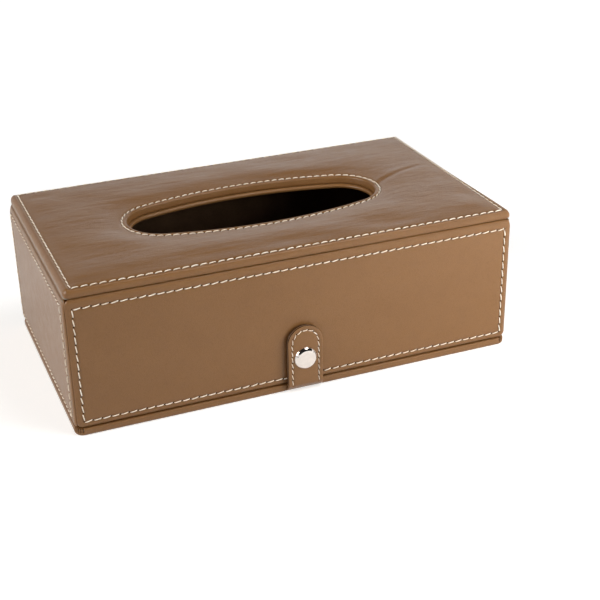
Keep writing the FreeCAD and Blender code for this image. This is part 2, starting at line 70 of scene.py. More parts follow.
# Looks of a stitched leatherette tissue box: leather wraps, thread, foam, nickel snap, linings.
# Metres, in the frame of the CAD model: X along the box, -Y the front with the tab, +Z up.

MM = 0.001

# ---- Sizes ----


def corners(node):
    """Lowest and highest corner of a CAD node, as arrays."""
    return tuple(np.array(corner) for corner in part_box(node))


WALL_LOW, WALL_HIGH = corners("front_wall_cover")
LINING_LOW, LINING_HIGH = corners("front_wall_lining")
TAB_LOW, TAB_HIGH = corners("tab_outer_leather")
WALL = WALL_HIGH[1] - WALL_LOW[1]
LEATHER = corners("front_wall_board")[0][1] - WALL_LOW[1]
LINING = LINING_HIGH[1] - LINING_LOW[1]
RIM_BAND = LINING_LOW[2] - WALL_LOW[2]
UPPER_BAND = WALL_HIGH[2] - LINING_HIGH[2]
CROWN = corners("top_cover")[1][2]
TAB_FRONT = TAB_LOW[1]
TAB_THICK = TAB_HIGH[1] - TAB_LOW[1]
TAB_HALF = (TAB_HIGH[0] - TAB_LOW[0]) / 2
ARCH = TAB_HIGH[2] - TAB_HALF  # height at which the sides of the tab run into its half round
SNAP_AT = sum(corners("snap_cap")) / 2 * (1, 0, 1) + WALL_LOW * (0, 1, 0)

# Leather over the boards.
WALL_ROLL = 2.2 * MM
WALL_BACK_ROLL = 0.35 * MM
CORNER_ROLL = 0.7 * MM  # upright edge of a wall, where it meets the next wall
CORNER_GAP = 0.26 * MM
WALL_CORNER = 2.8 * MM
EDGE_FALL = 0.95 * MM  # how far a wall's leather falls back towards its upright edges
EDGE_FALL_WIDTH = 3.7 * MM
LEAN = {"front": 0.15 * MM, "back": 0.15 * MM, "left": 0.7 * MM, "right": 0.7 * MM}  # at its upper edge
FLAP_CORNER = 4.5 * MM
FLAP_BAND = 12 * MM
FLAP_ROLL = 1.5 * MM
FLAP_BACK_ROLL = 0.8 * MM
TOP_CORNER = 3 * MM
TOP_ROLL = 2.6 * MM
TOP_FOOT = 1.2 * MM  # roll where the top panel meets the walls
SHOULDER = 4.75 * MM  # height of the top panel's stitched border above the walls
PAD_CORNER = 14 * MM  # radius of the padding's outline
PAD_START = 3 * MM  # from that outline to where the padding rises
PAD_REACH = 11 * MM
SINK = 1.7 * MM  # of the padding at the opening
SINK_REACH = 9 * MM
CREASE = [(68, -5), (74, 0), (80, 3.6), (91, 8), (101, 11.5), (113, 14.5)]  # in millimetres

# Dispensing opening: an oval of four tangent arcs.
OVAL_LENGTH = 138 * MM
OVAL_WIDTH = 53 * MM
OVAL_END = 19.5 * MM
OVAL_ROLL = 1.2 * MM
OVAL_FOOT = 0.85 * MM  # roll where the opening's edge meets the inner top
OVAL_LEAN = 0.3 * MM
LIP_OVERHANG = 1.9 * MM
LIP_LEATHER = 0.5 * MM
LIP_ROLL = 1.15 * MM
LIP_TURN_UNDER = 10 * MM

# Seams.
LOW_SEAM = 3.6 * MM  # from the lower edge of a wall to its row of stitches
HIGH_SEAM = 5.0 * MM
SIDE_SEAM = {"front": 4.45 * MM, "back": 4.45 * MM, "left": 6.9 * MM, "right": 6.9 * MM}
END_SHIFT = {"left": -2.7 * MM, "right": 2.7 * MM}  # of an end wall's row at its rear side
TOP_SEAM_X = 4.6 * MM  # from the ends of the top panel to its row
TOP_SEAM_Y = 2.5 * MM
OVAL_SEAM = 2.85 * MM
TAB_SEAM = 2.3 * MM
STITCH = 4.5 * MM  # from one needle hole to the next
OVAL_STITCH = 4.05 * MM
TAB_STITCH = 3.4 * MM
STITCH_SHARE = 0.84  # visible thread, as a share of the pitch
THREAD = 0.59 * MM
TAB_THREAD = 0.44 * MM
TWIST = 3.2  # turn of the thread's two plies over half a stitch, in radians
SLANT = 0.28 * MM  # how far each end of a stitch stands off the line of its row
HOLE_LENGTH = 0.5 * MM  # half the length of a needle hole
HOLE_WIDTH = 0.36 * MM
GROOVE = 0.32 * MM
GROOVE_WIDTH = 0.85 * MM
OVAL_GROOVE_WIDTH = 0.8 * MM
TOP_WELT = 0.12 * MM  # height of the swell beside the top's row of stitches
OVAL_WELT = 0.22 * MM
WELT_WIDTH = 0.9 * MM
PINCH = 0.2 * MM  # extra dip at a needle hole
PINCH_WIDTH = 0.6 * MM
STEPS = 6  # mesh steps from one needle hole to the next
NEAR_ROW = [step * MM for step in (0.9, 0.6, 0.3, 0, -0.3, -0.6, -0.9, -1.3)]  # mesh rings beside a row

# Tab, its root under the flap and the fold between them.
ROOT_HALF = TAB_HALF + 0.3 * MM
ROOT_BACK = corners("tab_root")[1][1]
ROOT_DEPTH = 0.74 * MM
ROOT_LEATHER = 0.68 * MM
FOLD_LEATHER = 1.0 * MM
FOLD_END = 5.0 * MM
FOLD = np.array([(4.9 * MM, 0), (3.6 * MM, 0), (0, FOLD_END - 1.7 * MM), (0, FOLD_END)])
FOLD += (TAB_FRONT, 0)
TAB_RELIEF = 0.12 * MM  # its padded middle stands this far in front of its sewn border
TAB_ROLL = 0.55 * MM
TAB_GROOVE = 0.28 * MM
TAB_GROOVE_WIDTH = 0.75 * MM
TAB_ROW_FOOT = 4.3 * MM  # height at which its row of stitches begins
FLAP_LOW, FLAP_HIGH = corners("flap_cover")
FLAP_X, FLAP_Y = (FLAP_HIGH - FLAP_LOW)[:2] / 2
FLAP_MIDDLE = (FLAP_LOW[1] + FLAP_HIGH[1]) / 2
FLAP_THICK = FLAP_HIGH[2] - FLAP_LOW[2]
PLEATS = [12, 27, 45, 61, 78]  # degrees round each corner of the flap
HINGE_LEATHER = 0.34 * MM

# ---- Meshes ----


def add_object(name, data):
    made = bpy.data.objects.new(name, data)
    bpy.context.scene.collection.objects.link(made)
    return made


def make_object(name, rings, material, faces=None, merge=True, shape=None):
    """A smooth-shaded mesh object with its normals pointing outward, by default of rings that
    close on themselves. Shape moves its points."""
    points = np.concatenate(rings)
    faces = faces or ring_faces(rings, True)
    if shape is not None:
        points = shape(points)
    mesh = bpy.data.meshes.new(name)
    mesh.from_pydata(points.tolist(), [], faces)
    work = bmesh.new()
    work.from_mesh(mesh)
    if merge:
        bmesh.ops.remove_doubles(work, verts=work.verts, dist=1e-3 * MM)
    bmesh.ops.recalc_face_normals(work, faces=work.faces)
    work.to_mesh(mesh)
    work.free()
    mesh.shade_smooth()
    mesh.materials.append(MATERIALS[material])
    return add_object(name, mesh)


def ring_faces(rings, closed=False, caps=()):
    """Quads between neighbouring rings; closed joins the last to the first, and caps are the
    rings that a face closes."""
    total, count = len(rings), len(rings[0])
    faces = []
    for row in range(total if closed else total - 1):
        a = row * count
        b = (row + 1) % total * count
        faces += [(a + i, a + (i + 1) % count, b + (i + 1) % count, b + i) for i in range(count)]
    return faces + [tuple(range(row * count, (row + 1) * count)) for row in caps]


def grid_faces(columns, rows, start):
    """Quads of a sheet of columns x rows points."""
    steps = [start + row * columns + i for row in range(rows - 1) for i in range(columns - 1)]
    return [(a, a + 1, a + 1 + columns, a + columns) for a in steps]


def at(x, y, z):
    """Points from their coordinates, each an array or one number for all."""
    return np.stack(np.broadcast_arrays(x, y, z), axis=-1)


def full_turn(steps):
    return np.linspace(0, 2 * pi, steps, endpoint=False)


def arc(radius, steps, start=1):
    """Insets and depths round a quarter turn; start 0 adds its first point."""
    angles = [pi / 2 * i / steps for i in range(start, steps + 1)]
    return [(radius * (1 - sin(turn)), radius * (1 - cos(turn))) for turn in angles]


def bell(distance, width):
    return np.exp(-((distance / width) ** 2))


def ramp(value, start, end):
    """Smooth rise from 0 at start to 1 at end."""
    share = np.clip((value - start) / (end - start), 0, 1)
    return share * share * (3 - 2 * share)


def waves(x, y, length, stretch, seed, count=14):
    """Smooth irregular relief of about -1 to 1: plane waves of about a length, stretched along X."""
    draw = random.Random(seed)
    total = np.zeros_like(x)
    for _ in range(count):
        angle = draw.uniform(0, pi)
        span = length * draw.uniform(0.7, 1.5)
        phase = draw.uniform(0, 2 * pi)
        across = x / stretch * cos(angle) + y * sin(angle)
        total = total + np.sin(2 * pi / span * across + phase)
    return total / sqrt(count)


# ---- Outlines ----


def rectangle(half_x, half_y, corner, counts, shift=0.0):
    """A closed ring round a rectangle, anticlockwise from its lower left. Counts are its steps
    along X, along Y and round a corner, whose points fall together where it has no radius."""
    along_x, along_y, around = counts
    corner = max(corner, 0)
    x = half_x - corner
    y = half_y - corner
    sides = [
        ((-x, -half_y), (x, -half_y), along_x, (x, -y), -90),
        ((half_x, -y), (half_x, y), along_y, (x, y), 0),
        ((x, half_y), (-x, half_y), along_x, (-x, y), 90),
        ((-half_x, y), (-half_x, -y), along_y, (-x, -y), 180),
    ]
    points = []
    for start, end, steps, centre, turn in sides:
        share = np.arange(steps)[:, None] / steps
        points.append(np.array(start) + (np.array(end) - np.array(start)) * share)
        angles = np.radians(turn + 90 * np.arange(around) / around)
        points.append(np.array(centre) + corner * np.stack([np.cos(angles), np.sin(angles)], axis=1))
    return np.concatenate(points) + (0, shift)


class Row:
    """The rectangle that a row of stitches follows on a panel, shifted across its middle."""

    def __init__(self, half_x, half_y, shift=0.0):
        self.half_x = half_x
        self.half_y = half_y
        self.shift = shift
        self.columns = round(2 * half_x / STITCH)
        self.rows = round(2 * half_y / STITCH)
        self.counts = (self.columns * STEPS, self.rows * STEPS, 4)

    def gap(self, x, y):
        """Distance outward from the row."""
        return np.maximum(np.abs(x) - self.half_x, np.abs(y - self.shift) - self.half_y)

    def hole_distance(self, x, y):
        """Distance along the row to its nearest needle hole."""
        along_x = (x + self.half_x) / (2 * self.half_x) * self.columns
        along_y = (y - self.shift + self.half_y) / (2 * self.half_y) * self.rows
        level = np.abs(y - self.shift) - self.half_y > np.abs(x) - self.half_x
        along = np.where(level, along_x, along_y)
        return np.abs(along - np.round(along)) * STITCH

    def holes(self):
        """Needle holes round the row, with one at each corner."""
        return rectangle(self.half_x, self.half_y, 0, (self.columns, self.rows, 0), self.shift)


END_X = OVAL_LENGTH / 2 - OVAL_END
SIDE_RADIUS = END_X**2 + (OVAL_WIDTH / 2) ** 2 - OVAL_END**2
SIDE_RADIUS /= 2 * (OVAL_WIDTH / 2 - OVAL_END)
DROP = SIDE_RADIUS - OVAL_WIDTH / 2
TURN = atan2(DROP, END_X)
SIDE_LENGTH = SIDE_RADIUS * (pi / 2 - TURN)
QUARTER_LENGTH = SIDE_LENGTH + OVAL_END * TURN


def oval(shares, grow):
    """Points of the opening's outline grown outward, at shares of the way round it from the
    middle of its front, anticlockwise. It has four tangent arcs."""
    steps = np.asarray(shares) % 1 * 4
    quadrant = steps.astype(int)
    part = steps - quadrant
    along = np.where(quadrant % 2 == 1, 1 - part, part) * QUARTER_LENGTH
    tilt = np.minimum(along, SIDE_LENGTH) / SIDE_RADIUS
    angle = TURN - np.maximum(along - SIDE_LENGTH, 0) / OVAL_END
    on_side = along < SIDE_LENGTH
    side = SIDE_RADIUS + grow
    end = OVAL_END + grow
    x = np.where(on_side, side * np.sin(tilt), END_X + end * np.cos(angle))
    y = np.where(on_side, side * np.cos(tilt) - DROP, end * np.sin(angle))
    front = (quadrant == 0) | (quadrant == 3)
    return np.stack([np.where(quadrant < 2, x, -x), np.where(front, -y, y)], axis=1)


def past_oval(x, y):
    """How far outside the opening's outline each point lies."""
    x, y = np.abs(x), np.abs(y)
    on_side = np.arctan2(y + DROP, x) > TURN
    return np.where(on_side, np.hypot(x, y + DROP) - SIDE_RADIUS, np.hypot(x - END_X, y) - OVAL_END)


def way_round(ring):
    """How far along a closed ring each of its points lies, and the first again at its end."""
    steps = np.linalg.norm(np.roll(ring, -1, axis=0) - ring, axis=1)
    return np.concatenate([[0], np.cumsum(steps)])


# ---- Seams ----


def oval_seam():
    """Needle holes round the opening, equally spaced along the row itself."""
    shares = np.linspace(0, 1, 4000, endpoint=False)
    along = way_round(oval(shares, OVAL_SEAM))
    stops = np.linspace(0, along[-1], round(along[-1] / OVAL_STITCH), endpoint=False)
    return oval(np.interp(stops, along, np.append(shares, 1)), OVAL_SEAM)


def make_thread(name, pairs, place, seed, width):
    """Stitches between pairs of needle holes: short two-ply threads whose ends dive."""
    draw = random.Random(seed)
    along = np.linspace(-1, 1, 13)
    turns = full_turn(10)
    taper = np.sqrt(np.clip(1.02 - np.abs(along) ** 5, 0.03, 1))
    stitch = ring_faces([turns] * len(along), caps=(0, len(along) - 1))
    rings = []
    faces = []
    for start, end in pairs:
        length = np.linalg.norm(end - start)
        ahead = (end - start) / length
        aside = np.array([-ahead[1], ahead[0]])
        thick = width / 2 * draw.uniform(0.92, 1.08)
        half = length / 2 * STITCH_SHARE * draw.uniform(0.96, 1.04)
        slant = SLANT * draw.uniform(0.6, 1.4)
        ply = draw.uniform(0, pi)
        rise = thick * 0.95 + 0.12 * MM * (1 - along**2) - 0.3 * MM * along**6 - GROOVE
        line = (start + end) / 2 + np.outer(along * half, ahead) + np.outer(along * slant, aside)
        first = len(rings) * len(turns)
        for k, step in enumerate(along):
            radius = thick * taper[k] * (0.8 + 0.2 * np.abs(np.cos(turns - ply - step * TWIST)))
            flat = line[k] + np.outer(np.cos(turns) * radius, aside)
            rings.append(place(*flat.T, rise[k] + np.sin(turns) * radius))
        faces += [tuple(first + point for point in face) for face in stitch]
    return make_object(name, rings, "thread", faces, merge=False)


def make_hole_shades(name, trios, place, sunk, bore):
    """Painted shade of needle holes, each given between its neighbours: small dark lenses in the row's
    groove that stand in for the shade inside the holes.
    """
    turns = full_turn(10)
    up = np.array([0.0] * 10 + [0.04 * MM, -0.26 * MM]) - sunk
    lenses = []
    faces = []
    for before, hole, after in trios:
        ahead = (after - before) / np.linalg.norm(after - before)
        aside = np.array([-ahead[1], ahead[0]])
        a = len(lenses) * 12
        rim = hole + np.outer(np.cos(turns), ahead) * HOLE_LENGTH * bore
        rim = rim + np.outer(np.sin(turns), aside) * HOLE_WIDTH * bore
        lenses.append(place(*np.concatenate([rim, [hole, hole]]).T, up))
        for j in range(10):
            n = (j + 1) % 10
            faces += [(a + j, a + n, a + 10), (a + n, a + j, a + 11)]
    return make_object(name, lenses, "hole", faces, merge=False)


def sew(name, body, holes, place, seed, sunk=0.4 * MM, width=THREAD, bore=1, closed=True, skip=None):
    """The thread and the painted shade of the needle holes of one row. place(x, y, height) puts points of
    the panel's own plane in the frame, and skip(x, y) is true where the row is left out."""
    before = [holes[-1] if closed else holes[0], *holes[:-1]]
    after = [*holes[1:], holes[0] if closed else holes[-1]]
    trios = list(zip(before, holes, after))
    pairs = [(hole, end) for _, hole, end in (trios if closed else trios[:-1])]
    if skip is not None:
        trios = [trio for trio in trios if not skip(*trio[1])]
        pairs = [pair for pair in pairs if not skip(*(sum(pair) / 2))]
    thread = make_thread(f"{name}_stitches", pairs, place, seed, width)
    # dark lenses of painted shade inside the needle holes
    shaded_holes = make_hole_shades(f"{name}_painted_hole_shades", trios, place, sunk, bore)
    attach(thread, body)
    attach(shaded_holes, body)


# ---- Wrapped panels ----


@dataclass
class Panel:
    """A board's place: the centre of its outer face, x across it, y up it, depth inward."""

    centre: tuple
    across: tuple
    up: tuple
    half_x: float
    half_y: float
    thickness: float
    end_shift: float = 0.0

    def place(self, x, y, height):
        """Points of the frame at x and y on the panel and a height above its outer face. The
        end shift draws one side's row of stitches nearer to the edge."""
        aside = np.sign(self.end_shift) * np.asarray(x)
        moved = ramp(aside, 0, self.half_x - 8 * MM) * ramp(self.half_x - aside, 2 * MM, 6.9 * MM)
        x = x + self.end_shift * moved
        x, y, height = (part[..., None] for part in np.broadcast_arrays(x, y, height))
        outward = np.cross(self.across, self.up)
        return self.centre + x * self.across + y * self.up + height * outward


def wall_relief(row, panel, lean, seed):
    """Height of a wall's leather over its flat face: the groove of its stitches, pinched at the
    needle holes, a slight swell, and a soft fall to the upright edges and the upper edge."""

    def relief(x, y):
        gap = row.gap(x, y)
        pinch = PINCH * bell(row.hole_distance(x, y), PINCH_WIDTH)
        dip = bell(gap, GROOVE_WIDTH) * (GROOVE + pinch)
        swell = waves(x, y, 75 * MM, 1.4, seed) * 0.10 * MM
        fall = EDGE_FALL * np.clip((np.abs(x) - panel.half_x) / EDGE_FALL_WIDTH + 1, 0, 1) ** 1.3
        fall = fall + lean * ramp(y, panel.half_y - 5 * MM, panel.half_y - 0.5 * MM)
        return swell * ramp(-gap, 0, 8 * MM) - dip - fall

    return relief


def mitred(depth):
    """Inset of a wall's upright edge at a depth: a small roll that runs into a mitre."""
    if depth > CORNER_ROLL * (1 + sqrt(0.5)):
        return depth + CORNER_GAP
    reach = sqrt(CORNER_ROLL**2 - (CORNER_ROLL - depth) ** 2)
    return CORNER_ROLL * (1 + sqrt(2)) - reach + CORNER_GAP


def wrap_levels(panel, roll, back_roll, band, band_leather, face_insets, mitre=False):
    """Section of a leather wrap from its face over the edge to the inside of the board: (side
    inset, lower inset, upper inset, depth). band is how far it is turned in on the back."""
    thick = panel.thickness
    section = arc(roll, 8)
    section += [(0.0, roll + (thick - roll - back_roll) * share) for share in (0.35, 0.7, 1)]
    section += [(inset, thick - rise) for rise, inset in arc(back_roll, 4)]
    levels = [insets + (0.0,) for insets in face_insets]
    levels += [(mitred(depth) if mitre else inset, inset, inset, depth) for inset, depth in section]
    edge = levels[-1][:3]
    for share in (0.3, 0.65, 1):
        levels.append(tuple(a + (b - a) * share for a, b in zip(edge, band)) + (thick,))
    pocket = (band[0] if mitre else LEATHER, LEATHER, LEATHER)
    inner = thick - band_leather
    return levels + [tuple(band) + (inner,), pocket + (inner,), pocket + (LEATHER,)]


def make_wrap(name, panel, counts, levels, corner, relief, shape=None):
    """The leather of a panel: rings over its edge, and a sheet in the middle of its face."""
    rings = []
    for number, (side, low, high, depth) in enumerate(levels):
        half_x, half_y = panel.half_x - side, panel.half_y - (low + high) / 2
        radius = corner - min(side, low, high) if number else 0
        x, y = rectangle(half_x, half_y, radius, counts, (low - high) / 2).T
        on_face = 1 - depth / panel.thickness if number < len(levels) - 3 else 0.0
        rings.append(panel.place(x, y, relief(x, y) * on_face - depth))
    side, low, high = levels[0][:3]
    half_x = panel.half_x - side
    columns = np.linspace(-half_x, half_x, counts[0] + 1)
    rows = np.linspace(low - panel.half_y, panel.half_y - high, counts[1] + 1)
    x, y = np.meshgrid(columns, rows)
    faces = ring_faces(rings, caps=(len(rings) - 1,))
    faces += grid_faces(len(columns), len(rows), len(rings) * len(rings[0]))
    rings.append(panel.place(x, y, relief(x, y)).reshape(-1, 3))
    return make_object(name, rings, "leather", faces, shape=shape)


def face_insets(side, start):
    """Rings of a wall's face, from inside its row of stitches out to the start of its roll."""
    seams = np.array((side, LOW_SEAM, HIGH_SEAM))
    outer = seams + NEAR_ROW[-1]
    rings = [seams + step for step in (1.9 * MM, 1.3 * MM, *NEAR_ROW)]
    rings += [outer + (start - outer) * share for share in (0.35, 0.7, 0.9)]
    return [tuple(ring) for ring in rings]


def make_wall_board(side, panel):
    """The board inside a wall, with its ends mitred like the leather round it."""
    rings = []
    for share, inset in ((0, 0.25 * MM), (0.12, 0), (0.88, 0), (1, 0.25 * MM)):
        depth = LEATHER + (WALL - LINING - LEATHER) * share
        half_x = panel.half_x - (depth + CORNER_GAP + LEATHER * sqrt(2) + inset)
        x, y = rectangle(half_x, panel.half_y - LEATHER - inset, 0, (60, 18, 0)).T
        rings.append(panel.place(x, y, -depth))
    board = make_object(f"{side}_wall_card", rings, "board", ring_faces(rings, caps=(0, 3)))
    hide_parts(f"{side}_wall_board")
    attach(board, "case")


def make_wall(side, across, seed):
    low, high = corners(f"{side}_wall_cover")
    across = np.array(across, float)
    up = np.array((0.0, 0.0, 1.0))
    spans = high - low
    centre = (low + high) / 2 + np.cross(across, up) * WALL / 2
    at_end = side in ("left", "right")
    half_x = abs(spans @ across) / 2 + (WALL if at_end else 0)
    panel = Panel(centre, across, up, half_x, spans[2] / 2, WALL, END_SHIFT.get(side, 0))
    inset = SIDE_SEAM[side]
    row_height = panel.half_y - (LOW_SEAM + HIGH_SEAM) / 2
    row = Row(half_x - inset, row_height, (LOW_SEAM - HIGH_SEAM) / 2)
    band = (mitred(WALL), RIM_BAND, UPPER_BAND)
    insets = face_insets(inset, (mitred(0), WALL_ROLL, WALL_ROLL))
    levels = wrap_levels(panel, WALL_ROLL, WALL_BACK_ROLL, band, LINING, insets, True)
    relief = wall_relief(row, panel, LEAN[side], seed)
    leather = make_wrap(f"{side}_wall_leather", panel, row.counts, levels, WALL_CORNER, relief)
    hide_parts(f"{side}_wall_cover")
    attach(leather, "case")
    make_wall_board(side, panel)
    hinge = corners("hinge_strip")[1]

    def under_hinge(x, y):
        return side == "back" and abs(x) < hinge[0] + 1 * MM and y < hinge[2] - centre[2]

    sew(f"{side}_wall", "case", row.holes(), panel.place, seed, skip=under_hinge)


# ---- Padded top ----

TOP_X, TOP_Y = corners("top_cover")[1][:2]
BASE = corners("top_cover")[0][2]
TOP_ROW = Row(TOP_X - TOP_SEAM_X, TOP_Y - TOP_SEAM_Y)
TOP_HOLES = TOP_ROW.holes()
OVAL_HOLES = oval_seam()


def top_outline(inset):
    return rectangle(TOP_X - inset, TOP_Y - inset, TOP_CORNER - inset, TOP_ROW.counts)


TOP_EDGE = top_outline(0)
WAY = way_round(TOP_EDGE)
TOP_SHARES = (WAY[:-1] + TOP_EDGE[0][0]) / WAY[-1]  # of the way round, from the middle of the front


def raised(ring, z):
    return np.column_stack([ring, np.broadcast_to(z, len(ring))])


def rim(inset, z):
    """A ring along the outline of the top panel."""
    return raised(top_outline(inset), z)


def brim(grow, z):
    """A ring along the outline of the opening."""
    return raised(oval(TOP_SHARES, grow), z)


def to_line(x, y, line):
    """Signed distance from the points to a polyline in millimetres, and how far along it they lie."""
    ends = np.array(line) * MM
    (ax, ay), (bx, by) = ends[:-1].T[..., None], np.diff(ends, axis=0).T[..., None]
    t = np.clip(((x - ax) * bx + (y - ay) * by) / (bx**2 + by**2), 0, 1)
    dx, dy = x - ax - t * bx, y - ay - t * by
    nearest = np.hypot(dx, dy).argmin(axis=0), np.arange(len(x))
    signed = np.sign(bx * dy - by * dx) * np.hypot(dx, dy)
    return signed[nearest], (nearest[0] + t[nearest]) / (len(line) - 1)


def round_edge(x, y, radius):
    """Distance inward from the top's outline with round corners."""
    over_x = np.abs(x) - (TOP_X - radius)
    over_y = np.abs(y) - (TOP_Y - radius)
    outside = np.hypot(np.maximum(over_x, 0), np.maximum(over_y, 0))
    return radius - outside - np.minimum(np.maximum(over_x, over_y), 0)


def pad_height(x, y):
    """Height of the padded form without its seams and creases."""
    inward = np.clip(round_edge(x, y, PAD_CORNER) - PAD_START, 0, None)
    crown = 1 - np.exp(-((inward / PAD_REACH) ** 1.2))
    full = CROWN - 0.05 * MM - (BASE + SHOULDER)
    outside = np.clip(past_oval(x, y) - OVAL_SEAM, 0, None)
    sink = SINK * np.exp(-((outside / SINK_REACH) ** 1.5))
    over = np.clip(TOP_ROLL - round_edge(x, y, TOP_CORNER), 0, TOP_ROLL)
    drop = TOP_ROLL - np.sqrt(TOP_ROLL**2 - over**2)
    return BASE + SHOULDER + full * crown - sink - drop


def pad_seams(x, y):
    """Grooves of the two rows of stitches, and the welts beside them."""
    gap = TOP_ROW.gap(x, y)
    outside = past_oval(x, y)
    dip = GROOVE * bell(gap, GROOVE_WIDTH) + GROOVE * bell(outside - OVAL_SEAM, OVAL_GROOVE_WIDTH)
    flat = np.stack([x.ravel(), y.ravel()], axis=1)
    near = np.zeros(len(flat))
    for hole in (*TOP_HOLES, *OVAL_HOLES):
        window = np.abs(flat - hole).max(axis=1) < 2 * MM
        apart = np.linalg.norm(flat[window] - hole, axis=1)
        near[window] = np.maximum(near[window], bell(apart, PINCH_WIDTH))
    welt = TOP_WELT * bell(gap - 1.7 * MM, WELT_WIDTH)
    welt = welt + OVAL_WELT * bell(outside - 1.5 * MM, WELT_WIDTH)
    return welt - dip - PINCH * near.reshape(x.shape)


def pad_creases(x, y):
    """Swells of the padding, wrinkles that run along the box, and the crease at the opening."""
    free = ramp(round_edge(x, y, PAD_CORNER), 4.5 * MM, 13 * MM)
    free = free * ramp(past_oval(x, y), 4 * MM, 11 * MM)
    swell = 0.20 * MM * waves(x, y, 34 * MM, 1.5, 21)
    folds = 0.03 * MM * waves(x, y, 6 * MM, 3.0, 22, 22)
    fine = 0.012 * MM * waves(x, y, 2.8 * MM, 3.0, 23, 26)
    gap, share = to_line(x, y, CREASE)
    fade = ramp(share, 0, 0.12) * (1 - ramp(share, 0.8, 1))
    crease = fade * (0.14 * MM * bell(gap - 2.8 * MM, 2.4 * MM) - 0.3 * MM * bell(gap, 1.9 * MM))
    crease = crease * ramp(-TOP_ROW.gap(x, y), 1 * MM, 5 * MM)
    return free * (swell + folds + fine - 0.1 * MM) + crease


def top_height(x, y):
    z = pad_height(x, y) + pad_seams(x, y) + pad_creases(x, y)
    return np.minimum(z, CROWN + 0.25 * MM)


def tuck(points):
    """Draws the top's edge in at both ends, and at the right more towards the back."""
    x, y, z = points.T
    left = 0.7 * MM * ramp(-x, TOP_X - 3.6 * MM, TOP_X - 0.5 * MM)
    beyond = np.clip((x - TOP_ROW.half_x) / (TOP_X - TOP_ROW.half_x), 0, 1)
    high = ramp(z, BASE + 1.6 * MM, BASE + 3.8 * MM)
    right = (0.6 + 1.8 * ramp(y, -60 * MM, 10 * MM)) * MM * beyond * high
    return at(x + left - right, y, z)


def edge_rings():
    """Rings over the rolled edge, and beside and along the row of stitches."""
    insets = [inset for _, inset in arc(TOP_ROLL, 11, 0)[:8]]
    rings = [top_outline(inset) for inset in insets]
    row, counts = TOP_ROW, TOP_ROW.counts
    last = insets[-1]
    for share in (0.2, 0.4, 0.6, 0.8):
        half_x = (TOP_X - last) * (1 - share) + (row.half_x + 0.9 * MM) * share
        half_y = (TOP_Y - last) * (1 - share) + (row.half_y + 0.9 * MM) * share
        rings.append(rectangle(half_x, half_y, (TOP_CORNER - last) * (1 - share), counts))
    for step in (*NEAR_ROW, -1.9 * MM, -2.6 * MM):
        rings.append(rectangle(row.half_x + step, row.half_y + step, 0, counts))
    return rings


def face_rings(rings, shares, grows):
    """Adds rings across the top to the opening to those of its outer edge."""
    outer = rings[-1]
    inner = oval(TOP_SHARES, grows[0])
    rings = rings + [outer * (1 - share) + inner * share for share in shares]
    return rings + [oval(TOP_SHARES, grow) for grow in grows]


def make_top_leather():
    rings = [rim(inset, BASE + rise) for inset, rise in arc(TOP_FOOT, 5, 0)]
    rings.append(rim(0, BASE + (TOP_FOOT + SHOULDER - TOP_ROLL) / 2))
    grows = (6.2, 5.4, 4.7, 4.2, 3.8, 3.4, 3.0, 2.6, 2.3, 2.05, 1.8, 1.5, 1.25)
    face = face_rings(edge_rings(), np.linspace(0, 1, 46)[1:-1], [grow * MM for grow in grows])
    rings += [raised(ring, top_height(*ring.T)) for ring in face]
    edge = top_height(*face[-1].T)
    rings += [brim(inset, edge - drop) for inset, drop in arc(OVAL_ROLL, 7)]
    for share in (0.33, 0.66, 1):
        z = (edge - OVAL_ROLL) * (1 - share) + (BASE + OVAL_FOOT) * share
        rings.append(brim(-OVAL_LEAN * share, z))
    rings += [brim(inset - OVAL_LEAN, BASE + rise) for rise, inset in arc(OVAL_FOOT, 5)]

    rings += [brim(LEATHER, BASE), brim(LEATHER, BASE + 3.4 * MM)]
    insets = [top_outline(step * MM) for step in (2.6, 5, 9)]
    for ring in reversed(face_rings(insets, (0.3, 0.6), [4 * MM, 2.2 * MM])):
        rings.append(raised(ring, pad_height(*ring.T) - LEATHER - 0.15 * MM))
    rings += [rim(LEATHER, BASE + 2.2 * MM), rim(LEATHER, BASE)]
    leather = make_object("top_leather", rings, "top_leather", shape=tuck)
    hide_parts("top_cover")
    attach(leather, "case")


def make_top_foam():
    """The foam between the board and the leather, rounded where the leather is drawn over it."""
    low = corners("top_board")[1][2]
    edge = LEATHER + 0.05 * MM
    insets = [top_outline(inset) for inset in (edge, edge + 0.8 * MM, 3 * MM, 6 * MM, 10 * MM)]
    face = face_rings(insets, (0.25, 0.5, 0.75), [4 * MM, edge + 0.8 * MM, edge])
    rings = []
    for number, ring in enumerate(face):
        drop = 1.1 * MM if number in (0, len(face) - 1) else 0.25 * MM
        rings.append(raised(ring, pad_height(*ring.T) - LEATHER - drop))
    rings += [brim(edge, low), rim(edge, low)]
    foam = make_object("top_foam", rings, "foam", shape=tuck)
    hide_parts("top_padding")
    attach(foam, "case")


def make_lip():
    """The inner top panel's leather, whose rolled edge shows inside the opening."""
    low, high = corners("inner_top_cover")
    floor, roof = low[2], high[2]
    outline = rectangle(high[0], high[1], 0, TOP_ROW.counts)
    lip = -LIP_OVERHANG
    shoulder = roof - 0.05 * MM
    section = [(2 * MM, roof), (1 * MM, roof - 0.02 * MM), (lip + LIP_ROLL, shoulder)]
    section += [(lip + inset, shoulder - drop) for inset, drop in arc(LIP_ROLL, 6)]
    section += [(lip + inset, floor + rise) for rise, inset in arc(LIP_ROLL, 6, 0)]
    section += [(lip + LIP_TURN_UNDER, floor), (lip + LIP_TURN_UNDER, floor + LIP_LEATHER)]
    section += [(lip + LIP_LEATHER, floor + LIP_LEATHER), (lip + LIP_LEATHER, roof - LIP_LEATHER)]
    rings = [raised(outline, roof), *(brim(grow, z) for grow, z in section)]
    rings.append(raised(outline, roof - LIP_LEATHER))
    leather = make_object("lip_leather", rings, "leather")
    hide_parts("inner_top_cover")
    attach(leather, "case")


